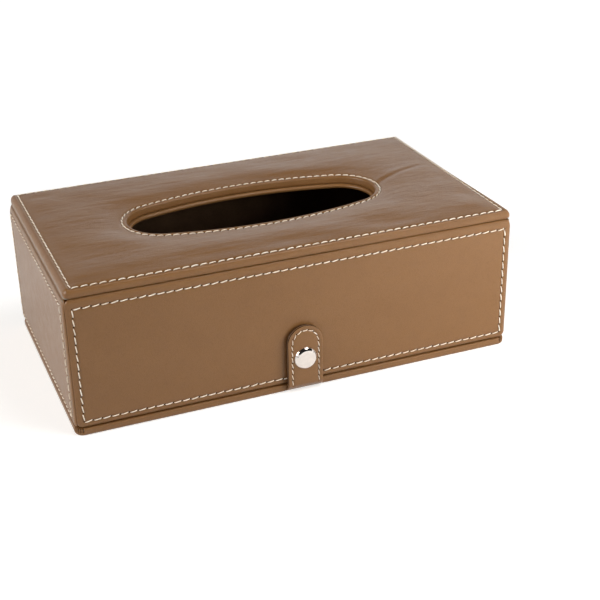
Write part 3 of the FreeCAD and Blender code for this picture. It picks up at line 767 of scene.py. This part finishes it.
def make_top():
    make_top_leather()
    make_top_foam()
    make_lip()

    def place(x, y, height):
        return at(x, y, pad_height(x, y) + height)

    sew("top_border", "case", TOP_HOLES, place, 31, 0.2 * MM, bore=0.62)
    sew("opening", "case", OVAL_HOLES, place, 32, 0.3 * MM)


# ---- Flap and tab ----


def seat_tab_root(points):
    """Presses the seat of the tab's root into the underside of the flap."""
    x, y, z = points.T
    under = np.clip((ROOT_HALF + 0.2 * MM - np.abs(x)) / (0.5 * MM), 0, 1)
    under = under * np.clip((ROOT_BACK + 0.6 * MM - y) / (0.6 * MM), 0, 1)
    pressed = np.where(z < ROOT_DEPTH, ROOT_DEPTH * under + z * (1 - under), z)
    return at(x, y, pressed)


def pleat_corners(points):
    """Gathers the leather in small folds round the corners of the flap."""
    x, y, z = points.T
    from_x = np.abs(x) - (FLAP_X - FLAP_CORNER)
    from_y = np.abs(y - FLAP_MIDDLE) - (FLAP_Y - FLAP_CORNER)
    reach = np.hypot(from_x, from_y)
    angle = np.degrees(np.arctan2(from_y, from_x))
    fold = sum(bell(angle - pleat, 4.0) for pleat in PLEATS)
    fold = fold * ramp(reach, 1.8 * MM, 3.6 * MM) * ramp(z, 1.0 * MM, FLAP_THICK * 0.65)
    share = np.where((from_x > 0) & (from_y > 0), fold * 1.4 * MM, 0) / np.maximum(reach, MM)
    return at(x - np.sign(x) * from_x * share, y - np.sign(y - FLAP_MIDDLE) * from_y * share, z)


def make_flap():
    panel = Panel((0, FLAP_MIDDLE, 0), (1, 0, 0), (0, -1, 0), FLAP_X, FLAP_Y, FLAP_THICK)
    insets = [(inset * MM,) * 3 for inset in (16, 14.6, 14, 12, 9, 6, 4.5, 3, 2.2, 1.5)]
    levels = wrap_levels(panel, FLAP_ROLL, FLAP_BACK_ROLL, (FLAP_BAND,) * 3, LEATHER, insets)

    def relief(x, y):
        inward = np.minimum(FLAP_X - np.abs(x), FLAP_Y - np.abs(y))
        swell = np.clip(1 + waves(x, y, 60 * MM, 1.3, 41), 0, None)
        return -0.03 * MM * swell * ramp(inward, 2 * MM, 9 * MM)

    def shape(points):
        return seat_tab_root(pleat_corners(points))

    leather = make_wrap("flap_leather", panel, (240, 134, 40), levels, FLAP_CORNER, relief, shape)
    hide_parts("flap_cover")
    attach(leather, "flap")


def tab_edge(x, z):
    """Distance inward from the sides and the half round of the tab."""
    return TAB_HALF - np.where(z > ARCH, np.hypot(x, z - ARCH), np.abs(x))


def tab_holes():
    """Needle holes of the tab: up one side, round the half round and down the other side."""
    radius = TAB_HALF - TAB_SEAM
    rise = ARCH - TAB_ROW_FOOT
    total = 2 * rise + pi * radius
    holes = []
    for along in np.linspace(0, total, round(total / TAB_STITCH) + 1):
        if along < rise:
            holes.append((-radius, TAB_ROW_FOOT + along))
        elif along < total - rise:
            angle = pi - (along - rise) / radius
            holes.append((radius * cos(angle), ARCH + radius * sin(angle)))
        else:
            holes.append((radius, TAB_ROW_FOOT + total - along))
    return np.array(holes)


def tab_front(x, z, holes):
    """How far the tab's front stands behind its face: rolled edge and groove of stitches."""
    edge = tab_edge(x, z)
    over = np.clip(TAB_ROLL - edge, 0, TAB_ROLL)
    back = TAB_ROLL - np.sqrt(np.clip(TAB_ROLL**2 - over**2, 0, None))
    near = np.zeros_like(x)
    for hole in holes:
        near = np.maximum(near, bell(np.hypot(x - hole[0], z - hole[1]), PINCH_WIDTH))
    groove = TAB_GROOVE * bell(edge - TAB_SEAM, TAB_GROOVE_WIDTH) * ramp(z, 3.8 * MM, 4.8 * MM)
    groove = groove + PINCH * near
    puff = -TAB_RELIEF * ramp(edge, TAB_SEAM, TAB_SEAM + 3 * MM) * ramp(z, 5 * MM, 12 * MM)
    return back + groove + puff + TAB_RELIEF


def fold(share):
    """A point of the bend from under the flap up into the tab, and the direction there, in Y, Z."""
    rest = 1 - share
    weights = (rest**3, 3 * rest**2 * share, 3 * rest * share**2, share**3)
    point = sum(weight * corner for weight, corner in zip(weights, FOLD))
    slopes = (rest**2, 2 * rest * share, share**2)
    ahead = sum(weight * step for weight, step in zip(slopes, np.diff(FOLD, axis=0)))
    return point, ahead / np.linalg.norm(ahead)


def paint_edge(piece):
    """Dark edge paint on the cut edge of a layer of the tab, which also stands in as painted shade for the
    gaps against the wall and between the layers.
    """
    piece.data.materials.append(MATERIALS["edge_paint_and_gap_shade"])
    for face in piece.data.polygons:
        centre = face.center
        upright = abs(face.normal.y) < 0.5 and centre.z > FOLD_END
        if upright and tab_edge(centre.x, centre.z) < 0.4 * MM:
            face.material_index = 1


def make_tab_leather(holes):
    """The outer layer of the tab and its root: one strip from under the flap, up in front of
    it and to a half round over the snap."""
    spread = np.sin(np.linspace(-pi / 2, pi / 2, 65))
    back_spread = np.sin(np.linspace(pi / 2, -pi / 2, 41))[1:-1]
    wide, back_wide = TAB_HALF * spread, TAB_HALF * back_spread
    rim = 0.2 * MM
    sections = []
    for y in np.linspace(ROOT_BACK, FOLD[0][0], 34):
        front = at(wide, y, rim * np.abs(spread) ** 12)
        back = at(back_wide, y, ROOT_LEATHER - rim * np.abs(back_spread) ** 8)
        sections.append(np.concatenate([front, back]))

    for share in np.linspace(0, 1, 21)[1:]:
        outer, ahead = fold(share)
        leather = ROOT_LEATHER + (FOLD_LEATHER - ROOT_LEATHER) * share
        inner = outer + np.array([-ahead[1], ahead[0]]) * -leather
        shy = tab_front(wide, outer[1], holes) * float(ramp(share, 0.6, 1))
        front = at(wide, outer[0] + ahead[1] * shy, outer[1] - ahead[0] * shy)
        sections.append(np.concatenate([front, at(back_wide, *inner)]))

    heights = list(np.linspace(FOLD_END + 0.3 * MM, ARCH, 92))
    heights += [ARCH + TAB_HALF * sin(pi / 2 * i / 34) for i in range(1, 35)]
    for z in heights:
        half = TAB_HALF if z <= ARCH else sqrt(max(TAB_HALF**2 - (z - ARCH) ** 2, 0))
        leather = FOLD_LEATHER + (TAB_THICK - FOLD_LEATHER) * float(ramp(z, 4.8 * MM, 7 * MM))
        x = half * spread
        front = at(x, TAB_FRONT + tab_front(x, z, holes), z)
        x = half * back_spread
        back_y = TAB_FRONT + leather - 0.25 * MM * (1 - ramp(tab_edge(x, z), 0, 0.3 * MM))
        bore = ramp(np.hypot(x, z - SNAP_AT[2]), 3.3 * MM, 2.9 * MM)
        back_y = back_y * (1 - bore) + (TAB_FRONT + 0.18 * MM) * bore
        sections.append(np.concatenate([front, at(x, back_y, z)]))

    leather = make_object("tab_leather", sections, "leather", ring_faces(sections, caps=(0,)))
    paint_edge(leather)
    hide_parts("tab_outer_leather", "tab_root")
    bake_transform(leather)


def make_tab_backing():
    """The inner layer of the tab, with the round hole of the snap's socket."""
    low, high = corners("tab_inner_leather")
    front, back = low[1], high[1]
    snap = SNAP_AT[2]
    hole = np.diff(corners("snap_socket"), axis=0)[0, 0] / 2 + 0.04 * MM
    corner = atan2(low[2] - snap, TAB_HALF)
    turns = np.sort(np.append(full_turn(174), [corner, pi - corner]))
    right, up = np.cos(turns), np.sin(turns)
    far = (ARCH - snap) * up
    arch = far + np.sqrt(np.maximum(far**2 - (ARCH - snap) ** 2 + TAB_HALF**2, 0))
    on_side = TAB_HALF / np.maximum(np.abs(right), 1e-9)
    foot = np.where(up < 0, (low[2] - snap) / np.minimum(up, -1e-9), 1.0)
    reach = np.where(up * on_side > ARCH - snap, arch, np.minimum(on_side, foot))

    section = [(1, -0.2, back), (1, 0.05, back - 0.2 * MM), (1, 0.05, front + 0.25 * MM)]
    section += [(1, -0.3, front), (0.6, 0, front), (0.3, 0, front), (0, 0.1, front)]
    section += [(0, 0, front + 0.15 * MM), (0, 0, back - 0.15 * MM), (0, 0.1, back)]
    section += [(0.3, 0, back), (0.6, 0, back)]
    rings = []
    for share, inset, y in section:
        out = hole + (reach - hole) * share + inset * MM
        rings.append(at(out * right, y, snap + out * up))
    backing = make_object("tab_backing", rings, "leather")
    paint_edge(backing)
    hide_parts("tab_inner_leather")
    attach(backing, "tab")


def make_tab():
    holes = tab_holes()
    make_tab_leather(holes)
    make_tab_backing()
    bend = np.array([fold(share)[0] for share in np.linspace(0, 1, 60)])

    def place(x, z, height):
        return at(x, np.interp(z, bend[:, 1], bend[:, 0]) + TAB_RELIEF - height, z)

    sew("tab", "tab", holes, place, 51, width=TAB_THREAD, closed=False)


def make_hinge():
    """The leather strip glued to the back wall and to the back edge of the flap."""
    low, high = corners("hinge_strip")
    foot, wall = corners("back_wall_cover")[0][2], corners("back_wall_cover")[1][1]
    flap = corners("flap_cover")[1][1]
    heights = [*np.linspace(low[2], 3.2 * MM, 5), *np.linspace(3.35 * MM, 7 * MM, 26)[:-1]]
    heights += [*np.linspace(7 * MM, high[2], 12)]
    count = 150
    spread = np.sin(np.linspace(-pi / 2, pi / 2, count)) * 0.15
    spread = spread + np.linspace(-1, 1, count) * 0.85
    wide = high[0] * spread
    rim = 0.2 * MM * np.abs(spread) ** 60
    sections = []
    for z in heights:
        y = flap + 0.03 * MM + (wall - flap) * ramp(z, foot - 0.2 * MM, foot + 1.7 * MM)
        wobble = 0.03 * MM * waves(wide, z, 14 * MM, 1.2, 61)
        if z in (heights[0], heights[-1]):
            wobble = -0.16 * MM
        outer = at(wide, y + HINGE_LEATHER - rim + wobble, z)
        sections.append(np.concatenate([outer, at(wide[::-1], y, z)]))
    faces = ring_faces(sections, caps=(0, len(sections) - 1))
    strip = make_object("hinge_leather", sections, "leather", faces, merge=False)
    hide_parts("hinge_strip")
    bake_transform(strip)


# ---- Snap fastener ----


def make_snap():
    """The four turned pieces of the snap: closed profiles of (radius, reach from the face of
    the wall) in millimetres."""
    cap = [(2.45, 2.0), (2.8, 2.0), (2.8, 3.3), (5.5, 3.3), (5.95, 3.3), (6.06, 3.33), (6.1, 3.39)]
    cap += [(6.05, 3.43), (5.97, 3.6), (5.86, 3.79), (5.74, 3.96), (5.6, 4.12), (5.4, 4.32)]
    cap += [(5.2, 4.52), (5.0, 4.71), (4.9, 4.79), (4.82, 4.84), (4.72, 4.865), (4.6, 4.875)]
    cap += [(3.6, 4.885), (2.4, 4.895), (1.2, 4.9), (0, 4.9), (0, 2.65), (2.45, 2.65)]
    socket = [(2.45, 0.8), (2.6, 0.7), (3.0, 0.7), (3.2, 0.85), (4.0, 0.85), (4.2, 0.72), (4.45, 0.72)]
    socket += [(4.6, 0.85), (4.6, 2.0), (2.45, 2.0)]
    stud = [(1.35, 0.0), (3.9, 0.0), (4.0, 0.1), (4.0, 0.3), (3.88, 0.4), (2.1, 0.4), (1.8, 0.5)]
    stud += [(1.75, 0.7), (1.75, 0.95), (1.85, 1.15), (2.05, 1.4), (2.1, 1.7), (2.05, 2.0), (1.85, 2.2)]
    stud += [(1.5, 2.3), (0, 2.3), (0, 1.5), (1.35, 1.5)]
    back = -WALL / MM
    rivet = [(0, back - 0.5), (4.2, back - 0.5), (4.45, back - 0.4), (4.5, back - 0.2), (4.45, back)]
    rivet += [(1.3, back), (1.3, 1.35), (1.2, 1.45), (0, 1.45)]
    turns = full_turn(96)
    for name, body, profile in (
        ("snap_cap", "tab", cap),
        ("snap_socket", "tab", socket),
        ("snap_stud", "case", stud),
        ("snap_rivet", "case", rivet),
    ):
        rings = []
        for radius, reach in profile:
            rings.append(SNAP_AT + at(radius * np.cos(turns), -reach, radius * np.sin(turns)) * MM)
        piece = make_object(name + "_metal", rings, "nickel")
        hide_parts(name)
        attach(piece, body)


# ---- Materials ----


def linear(code):
    """An sRGB hex code as the linear RGBA that shaders use."""
    parts = [part / 255 for part in bytes.fromhex(code)]
    return tuple(p / 12.92 if p <= 0.04045 else ((p + 0.055) / 1.055) ** 2.4 for p in parts) + (1.0,)


class Nodes:
    """The node tree of a material or a world, with short calls for its nodes. An input is a
    value, the hex code of a colour or the output of another node."""

    def __init__(self, owner):
        owner.use_nodes = True
        self.tree = owner.node_tree

    def put(self, node, inputs):
        for socket, value in inputs.items():
            if isinstance(value, bpy.types.NodeSocket):
                self.tree.links.new(value, node.inputs[socket])
            else:
                node.inputs[socket].default_value = linear(value) if isinstance(value, str) else value

    def add(self, kind, inputs, output=0, **settings):
        """Adds a node and gives one of its outputs."""
        made = self.tree.nodes.new(kind)
        for name, value in settings.items():
            setattr(made, name, value)
        self.put(made, inputs)
        return made.outputs[output]

    def span(self, value, low, high, new_low, new_high):
        """Maps a value's range smoothly onto another."""
        inputs = {"Value": value, "From Min": low, "From Max": high, "To Min": new_low, "To Max": new_high}
        return self.add("ShaderNodeMapRange", inputs, "Result", interpolation_type="SMOOTHSTEP")

    def sum(self, *parts):
        """Adds (value, weight) parts."""
        total = 0.0
        for value, weight in parts:
            inputs = {0: value, 1: weight, 2: total}
            total = self.add("ShaderNodeMath", inputs, operation="MULTIPLY_ADD")
        return total

    def seen_directly(self, glossy):
        """1 where a camera or transmission ray looks, and a share of it for a glossy ray."""
        rays = (("Is Camera Ray", 1), ("Is Glossy Ray", glossy), ("Is Transmission Ray", 1))
        return self.sum(*((self.add("ShaderNodeLightPath", {}, ray), share) for ray, share in rays))


class Shader(Nodes):
    """A material built round its principled surface, with patterns in the object's own place."""

    def __init__(self, name, roughness, **values):
        self.material = bpy.data.materials.new(name)
        super().__init__(self.material)
        self.surface = self.tree.nodes["Principled BSDF"]
        named = {socket.replace("_", " "): value for socket, value in values.items()}
        self.put(self.surface, {"Roughness": roughness, **named})
        self.position = self.add("ShaderNodeTexCoord", {}, "Object")

    def stretched(self, x, y=1.0):
        """The position with its axes scaled, for a longer or shorter pattern."""
        inputs = {"Scale": (x, y, 1.0), "Vector": self.position}
        return self.add("ShaderNodeMapping", inputs, "Vector")

    def noise(self, length, detail=2.0, place=None, distortion=0.0):
        """Noise from 0 to 1 with features of about a length in metres."""
        inputs = {"Vector": place or self.position, "Scale": 1 / length}
        inputs |= {"Detail": detail, "Distortion": distortion}
        return self.add("ShaderNodeTexNoise", inputs, "Fac")

    def cells(self, length, feature="DISTANCE_TO_EDGE"):
        inputs = {"Vector": self.position, "Scale": 1 / length}
        return self.add("ShaderNodeTexVoronoi", inputs, "Distance", feature=feature)

    def tint(self, value, low, high, first, second, start=0, end=1):
        """The second colour over the first, in a share that follows the value."""
        inputs = {"Factor": self.span(value, low, high, start, end), 6: first, 7: second}
        return self.add("ShaderNodeMix", inputs, 2, data_type="RGBA")

    def bump(self, height, distance, strength):
        inputs = {"Strength": strength, "Distance": distance, "Height": height}
        self.put(self.surface, {"Normal": self.add("ShaderNodeBump", inputs, "Normal")})

    def done(self, colour, **roughness):
        self.put(self.surface, {"Base Color": colour, **roughness})
        return self.material


# LEATHER_DARK is the tone of the grain's pores, and also painted shade in the valleys of the top's
# wrinkles.
LEATHER_DARK = "684222"
LEATHER_MID = "835c34"
LEATHER_LIGHT = "886139"


def leather(name, wrinkles):
    """Satin leatherette: fine pebble grain, faint mottling and, on the top, long wrinkles with painted
    shade in their valleys.
    """
    shader = Shader(name, 0.3, Specular_IOR_Level=0.42)
    mottling = shader.noise(28 * MM, 3, shader.stretched(0.6))
    cloud = shader.noise(7 * MM, 3)
    fine = shader.noise(0.35 * MM, 2)
    pores = shader.span(shader.cells(0.7 * MM), 0.0, 0.22, 0.0, 1.0)
    tone = shader.sum((mottling, 0.5), (cloud, 0.25), (fine, 0.25))
    colour = shader.tint(tone, 0.3, 0.7, LEATHER_MID, LEATHER_LIGHT)
    colour = shader.tint(pores, 0, 1, colour, LEATHER_DARK, 0.25, 0)
    height = [(pores, 0.03), (fine, 0.02)]
    if wrinkles:
        long = shader.noise(3.2 * MM, 3, shader.stretched(0.16), 0.25)
        short = shader.noise(1.1 * MM, 2, shader.stretched(0.2), 0.2)
        height += [(long, 0.11), (short, 0.075)]
        # painted shade: the valleys of the long wrinkles are darkened
        colour = shader.tint(long, 0.35, 0.6, colour, LEATHER_DARK, 0.14, 0)
    shader.bump(shader.sum(*height), 1.0 * MM, 0.85)
    return shader.done(colour, Roughness=shader.span(cloud, 0.3, 0.7, 0.28, 0.33))


def thread():
    """Cream cotton-wrapped thread: fibres along it and a soft sheen."""
    shader = Shader("cream_thread", 0.62, Specular_IOR_Level=0.3, Sheen_Weight=0.35, Sheen_Roughness=0.5)
    fibres = shader.noise(0.12 * MM, 3)
    tone = shader.noise(9 * MM, 2)
    colour = shader.tint(tone, 0.35, 0.65, "fbedd8", "fff7e8")
    shader.bump(fibres, 0.05 * MM, 0.6)
    return shader.done(shader.tint(fibres, 0.25, 0.6, colour, "d6be9e", 0.3, 0))


def nickel():
    """Polished nickel plate with fine turning marks and faint tarnish."""
    shader = Shader("nickel_plate", 0.16, Metallic=1.0)
    stain = shader.noise(2.5 * MM, 3)
    shader.bump(shader.noise(0.12 * MM, 2, shader.stretched(1, 0.15)), 0.01 * MM, 0.15)
    colour = shader.tint(stain, 0.3, 0.7, "e5ddd6", "dfd7d0")
    return shader.done(colour, Roughness=shader.span(stain, 0.25, 0.75, 0.09, 0.13))


def paper():
    """Black lining paper with a fibrous tooth."""
    shader = Shader("black_lining_paper", 0.85, Specular_IOR_Level=0.3)
    tooth = shader.noise(0.5 * MM, 4)
    tone = shader.sum((tooth, 0.6), (shader.noise(12 * MM, 3), 0.4))
    shader.bump(tooth, 0.1 * MM, 0.5)
    return shader.done(shader.tint(tone, 0.3, 0.7, "3c2b1e", "523e2d"))


def chipboard():
    """Grey-brown chipboard with flecks of fibre."""
    shader = Shader("grey_chipboard", 0.9, Specular_IOR_Level=0.2)
    fibres = shader.noise(1.2 * MM, 5, shader.stretched(0.4))
    flecks = shader.cells(2.5 * MM, "F1")
    colour = shader.tint(fibres, 0.3, 0.7, "766c60", "9e9486")
    shader.bump(fibres, 0.15 * MM, 0.6)
    return shader.done(shader.tint(flecks, 0.0, 0.12, colour, "54483c", 0.6, 0))


def foam():
    """Pale open-cell foam."""
    shader = Shader("upholstery_foam", 0.95, Specular_IOR_Level=0.1)
    pores = shader.cells(1.1 * MM)
    cloud = shader.noise(14 * MM, 2)
    colour = shader.tint(cloud, 0.3, 0.7, "e4d8b4", "d6c69e")
    shader.bump(pores, 0.4 * MM, 0.8)
    return shader.done(shader.tint(pores, 0.0, 0.25, colour, "968460", 0, 0.5))


def painted_hole_shade():
    """Painted shade inside a needle hole in leather, a little uneven."""
    shader = Shader("painted_hole_shade", 0.8, Specular_IOR_Level=0.1)
    # uneven tone of the painted shade in the hole
    shade_tone = shader.noise(0.3 * MM, 3)
    return shader.done(shader.tint(shade_tone, 0.3, 0.7, "341f12", "482d1b"))


def edge_paint_and_gap_shade():
    """Dark edge paint on cut edges, a little uneven, which also stands in as painted shade for the gaps
    against the wall and between the tab's layers.
    """
    shader = Shader("edge_paint_and_gap_shade", 0.75, Specular_IOR_Level=0.08)
    wear = shader.noise(0.9 * MM, 4)
    shader.bump(wear, 0.06 * MM, 0.5)
    return shader.done(shader.tint(wear, 0.3, 0.7, "221812", "36271d"))


MATERIALS = {
    "leather": leather("leatherette", False),
    "top_leather": leather("leatherette_soft", True),
    "thread": thread(),
    "nickel": nickel(),
    "paper": paper(),
    "board": chipboard(),
    "foam": foam(),
    # painted shade inside the needle holes
    "hole": painted_hole_shade(),
    # edge paint, partly painted shade of the gaps at the tab's layers
    "edge_paint_and_gap_shade": edge_paint_and_gap_shade(),
}


def dress_cad_nodes():
    """Boards and linings keep their CAD solids and get their materials."""
    for name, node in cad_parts.items():
        kind = "board" if name.endswith("_board") else "paper"
        node.data.materials.clear()
        node.data.materials.append(MATERIALS[kind])


# ---- Floor, light and camera ----

FLOOR_HALF = 6.0
CAMERA_AT = (-0.207306, -0.586595, 0.327098)
CAMERA_RIGHT = (0.92614198, -0.37674938, -0.01791502)
CAMERA_UP = (0.1818549, 0.40442282, 0.89630964)
CAMERA_BACK = (-0.33043885, -0.83336792, 0.44306666)
CAMERA_LENS = 75.19
WARM = (1.0, 0.99, 0.97)
FLOOR_GLOW = (0.15, 1.1, 0.57, 0.88)  # from and to which distance, and its levels there
GLOSSY_GLOW = 0.68  # share of it that a reflection shows
FILL = 0.05
STUDIO_WALL = (0.335, 0.395, 1.15, 0.02)  # from where to where it darkens, and from what to what
HORIZON = (0.02, 0.24, 0.4, 1.0)  # the same for the darkening down to the floor


def make_floor():
    """A plain white floor. What looks at it directly sees it a little brighter than its light."""
    edge = FLOOR_HALF
    mesh = bpy.data.meshes.new("floor")
    ends = [(-edge, -edge, 0), (edge, -edge, 0), (edge, edge, 0), (-edge, edge, 0)]
    mesh.from_pydata(ends, [], [(0, 1, 2, 3)])
    shader = Shader("studio_floor", 0.9, Specular_IOR_Level=0.0, Emission_Color=(1, 0.99, 0.975, 1))
    reach = shader.add("ShaderNodeVectorMath", {0: shader.position}, "Value", operation="LENGTH")
    glow = {0: shader.seen_directly(GLOSSY_GLOW), 1: shader.span(reach, *FLOOR_GLOW)}
    glow = shader.add("ShaderNodeMath", glow, operation="MULTIPLY")
    shader.put(shader.surface, {"Emission Strength": glow})
    mesh.materials.append(shader.done((0.70, 0.70, 0.70, 1)))
    add_object("floor", mesh)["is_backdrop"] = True


def make_world():
    """A pale studio, seen white low down and dark higher up; all else gets an even fill."""
    world = bpy.data.worlds.new("studio")
    bpy.context.scene.world = world
    nodes = Nodes(world)
    place = nodes.add("ShaderNodeTexCoord", {}, "Generated")
    height = nodes.add("ShaderNodeSeparateXYZ", {0: place}, "Z")
    bands = {0: nodes.span(height, *STUDIO_WALL), 1: nodes.span(height, *HORIZON)}
    both = nodes.add("ShaderNodeMath", bands, operation="MULTIPLY")
    strength = nodes.add("ShaderNodeMix", {"Factor": nodes.seen_directly(1), 2: FILL, 3: both})
    nodes.put(nodes.tree.nodes["Background"], {"Strength": strength, "Color": (1, 1, 1, 1)})


def make_softbox(name, place, width, height, power, colour=(1, 1, 1), mirrored=True):
    """A rectangular lamp that faces the box. One that isn't mirrored leaves no glare, as the
    low front lamps would on the top seen from behind."""
    lamp = bpy.data.lights.new(name, "AREA")
    lamp.shape = "RECTANGLE"
    lamp.size = width
    lamp.size_y = height
    lamp.energy = power
    lamp.color = colour
    holder = add_object(name, lamp)
    holder.location = place
    away = Vector((0, 0, 0.04)) - Vector(place)
    holder.rotation_euler = away.to_track_quat("-Z", "Y").to_euler()
    holder.visible_camera = False
    holder.visible_glossy = mirrored


def make_lights():
    make_softbox("key", (0.25, -0.29, 0.13), 0.22, 0.22, 0.84, WARM, False)
    make_softbox("front", (0.5, -0.9, 0.45), 0.5, 0.3, 1.9, WARM, False)
    make_softbox("left", (-1.2, -0.1, 0.7), 0.8, 0.8, 14.5, (1.0, 0.97, 0.93))
    make_softbox("overhead", (0.5, -0.35, 1.2), 0.6, 0.4, 6.0)
    make_softbox("back", (0.75, 1.25, 0.50), 1.0, 0.28, 0.85)


def make_camera():
    data = bpy.data.cameras.new("camera")
    data.sensor_fit = "HORIZONTAL"
    data.sensor_width = 36
    data.lens = CAMERA_LENS
    data.clip_start = 0.01
    data.clip_end = 50
    camera = add_object("camera", data)
    axes = Matrix((CAMERA_RIGHT, CAMERA_UP, CAMERA_BACK)).transposed().to_4x4()
    camera.matrix_world = Matrix.Translation(CAMERA_AT) @ axes
    bpy.context.scene.camera = camera


# ---- Everything together ----


def write_sizes():
    """The CAD model's box and the visual model's box, gathered as plain lists."""
    boxes = {"cad": CAD_BOX, "visual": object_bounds()}
    plain = {name: [list(corner) for corner in box] for name, box in boxes.items()}


bpy.context.scene.view_settings.view_transform = "Standard"
dress_cad_nodes()
make_wall("front", (1, 0, 0), 101)
make_wall("back", (-1, 0, 0), 103)
make_wall("left", (0, -1, 0), 105)
make_wall("right", (0, 1, 0), 107)
make_top()
make_flap()
make_tab()
make_hinge()
make_snap()
make_floor()
make_world()
make_lights()
make_camera()
write_sizes()
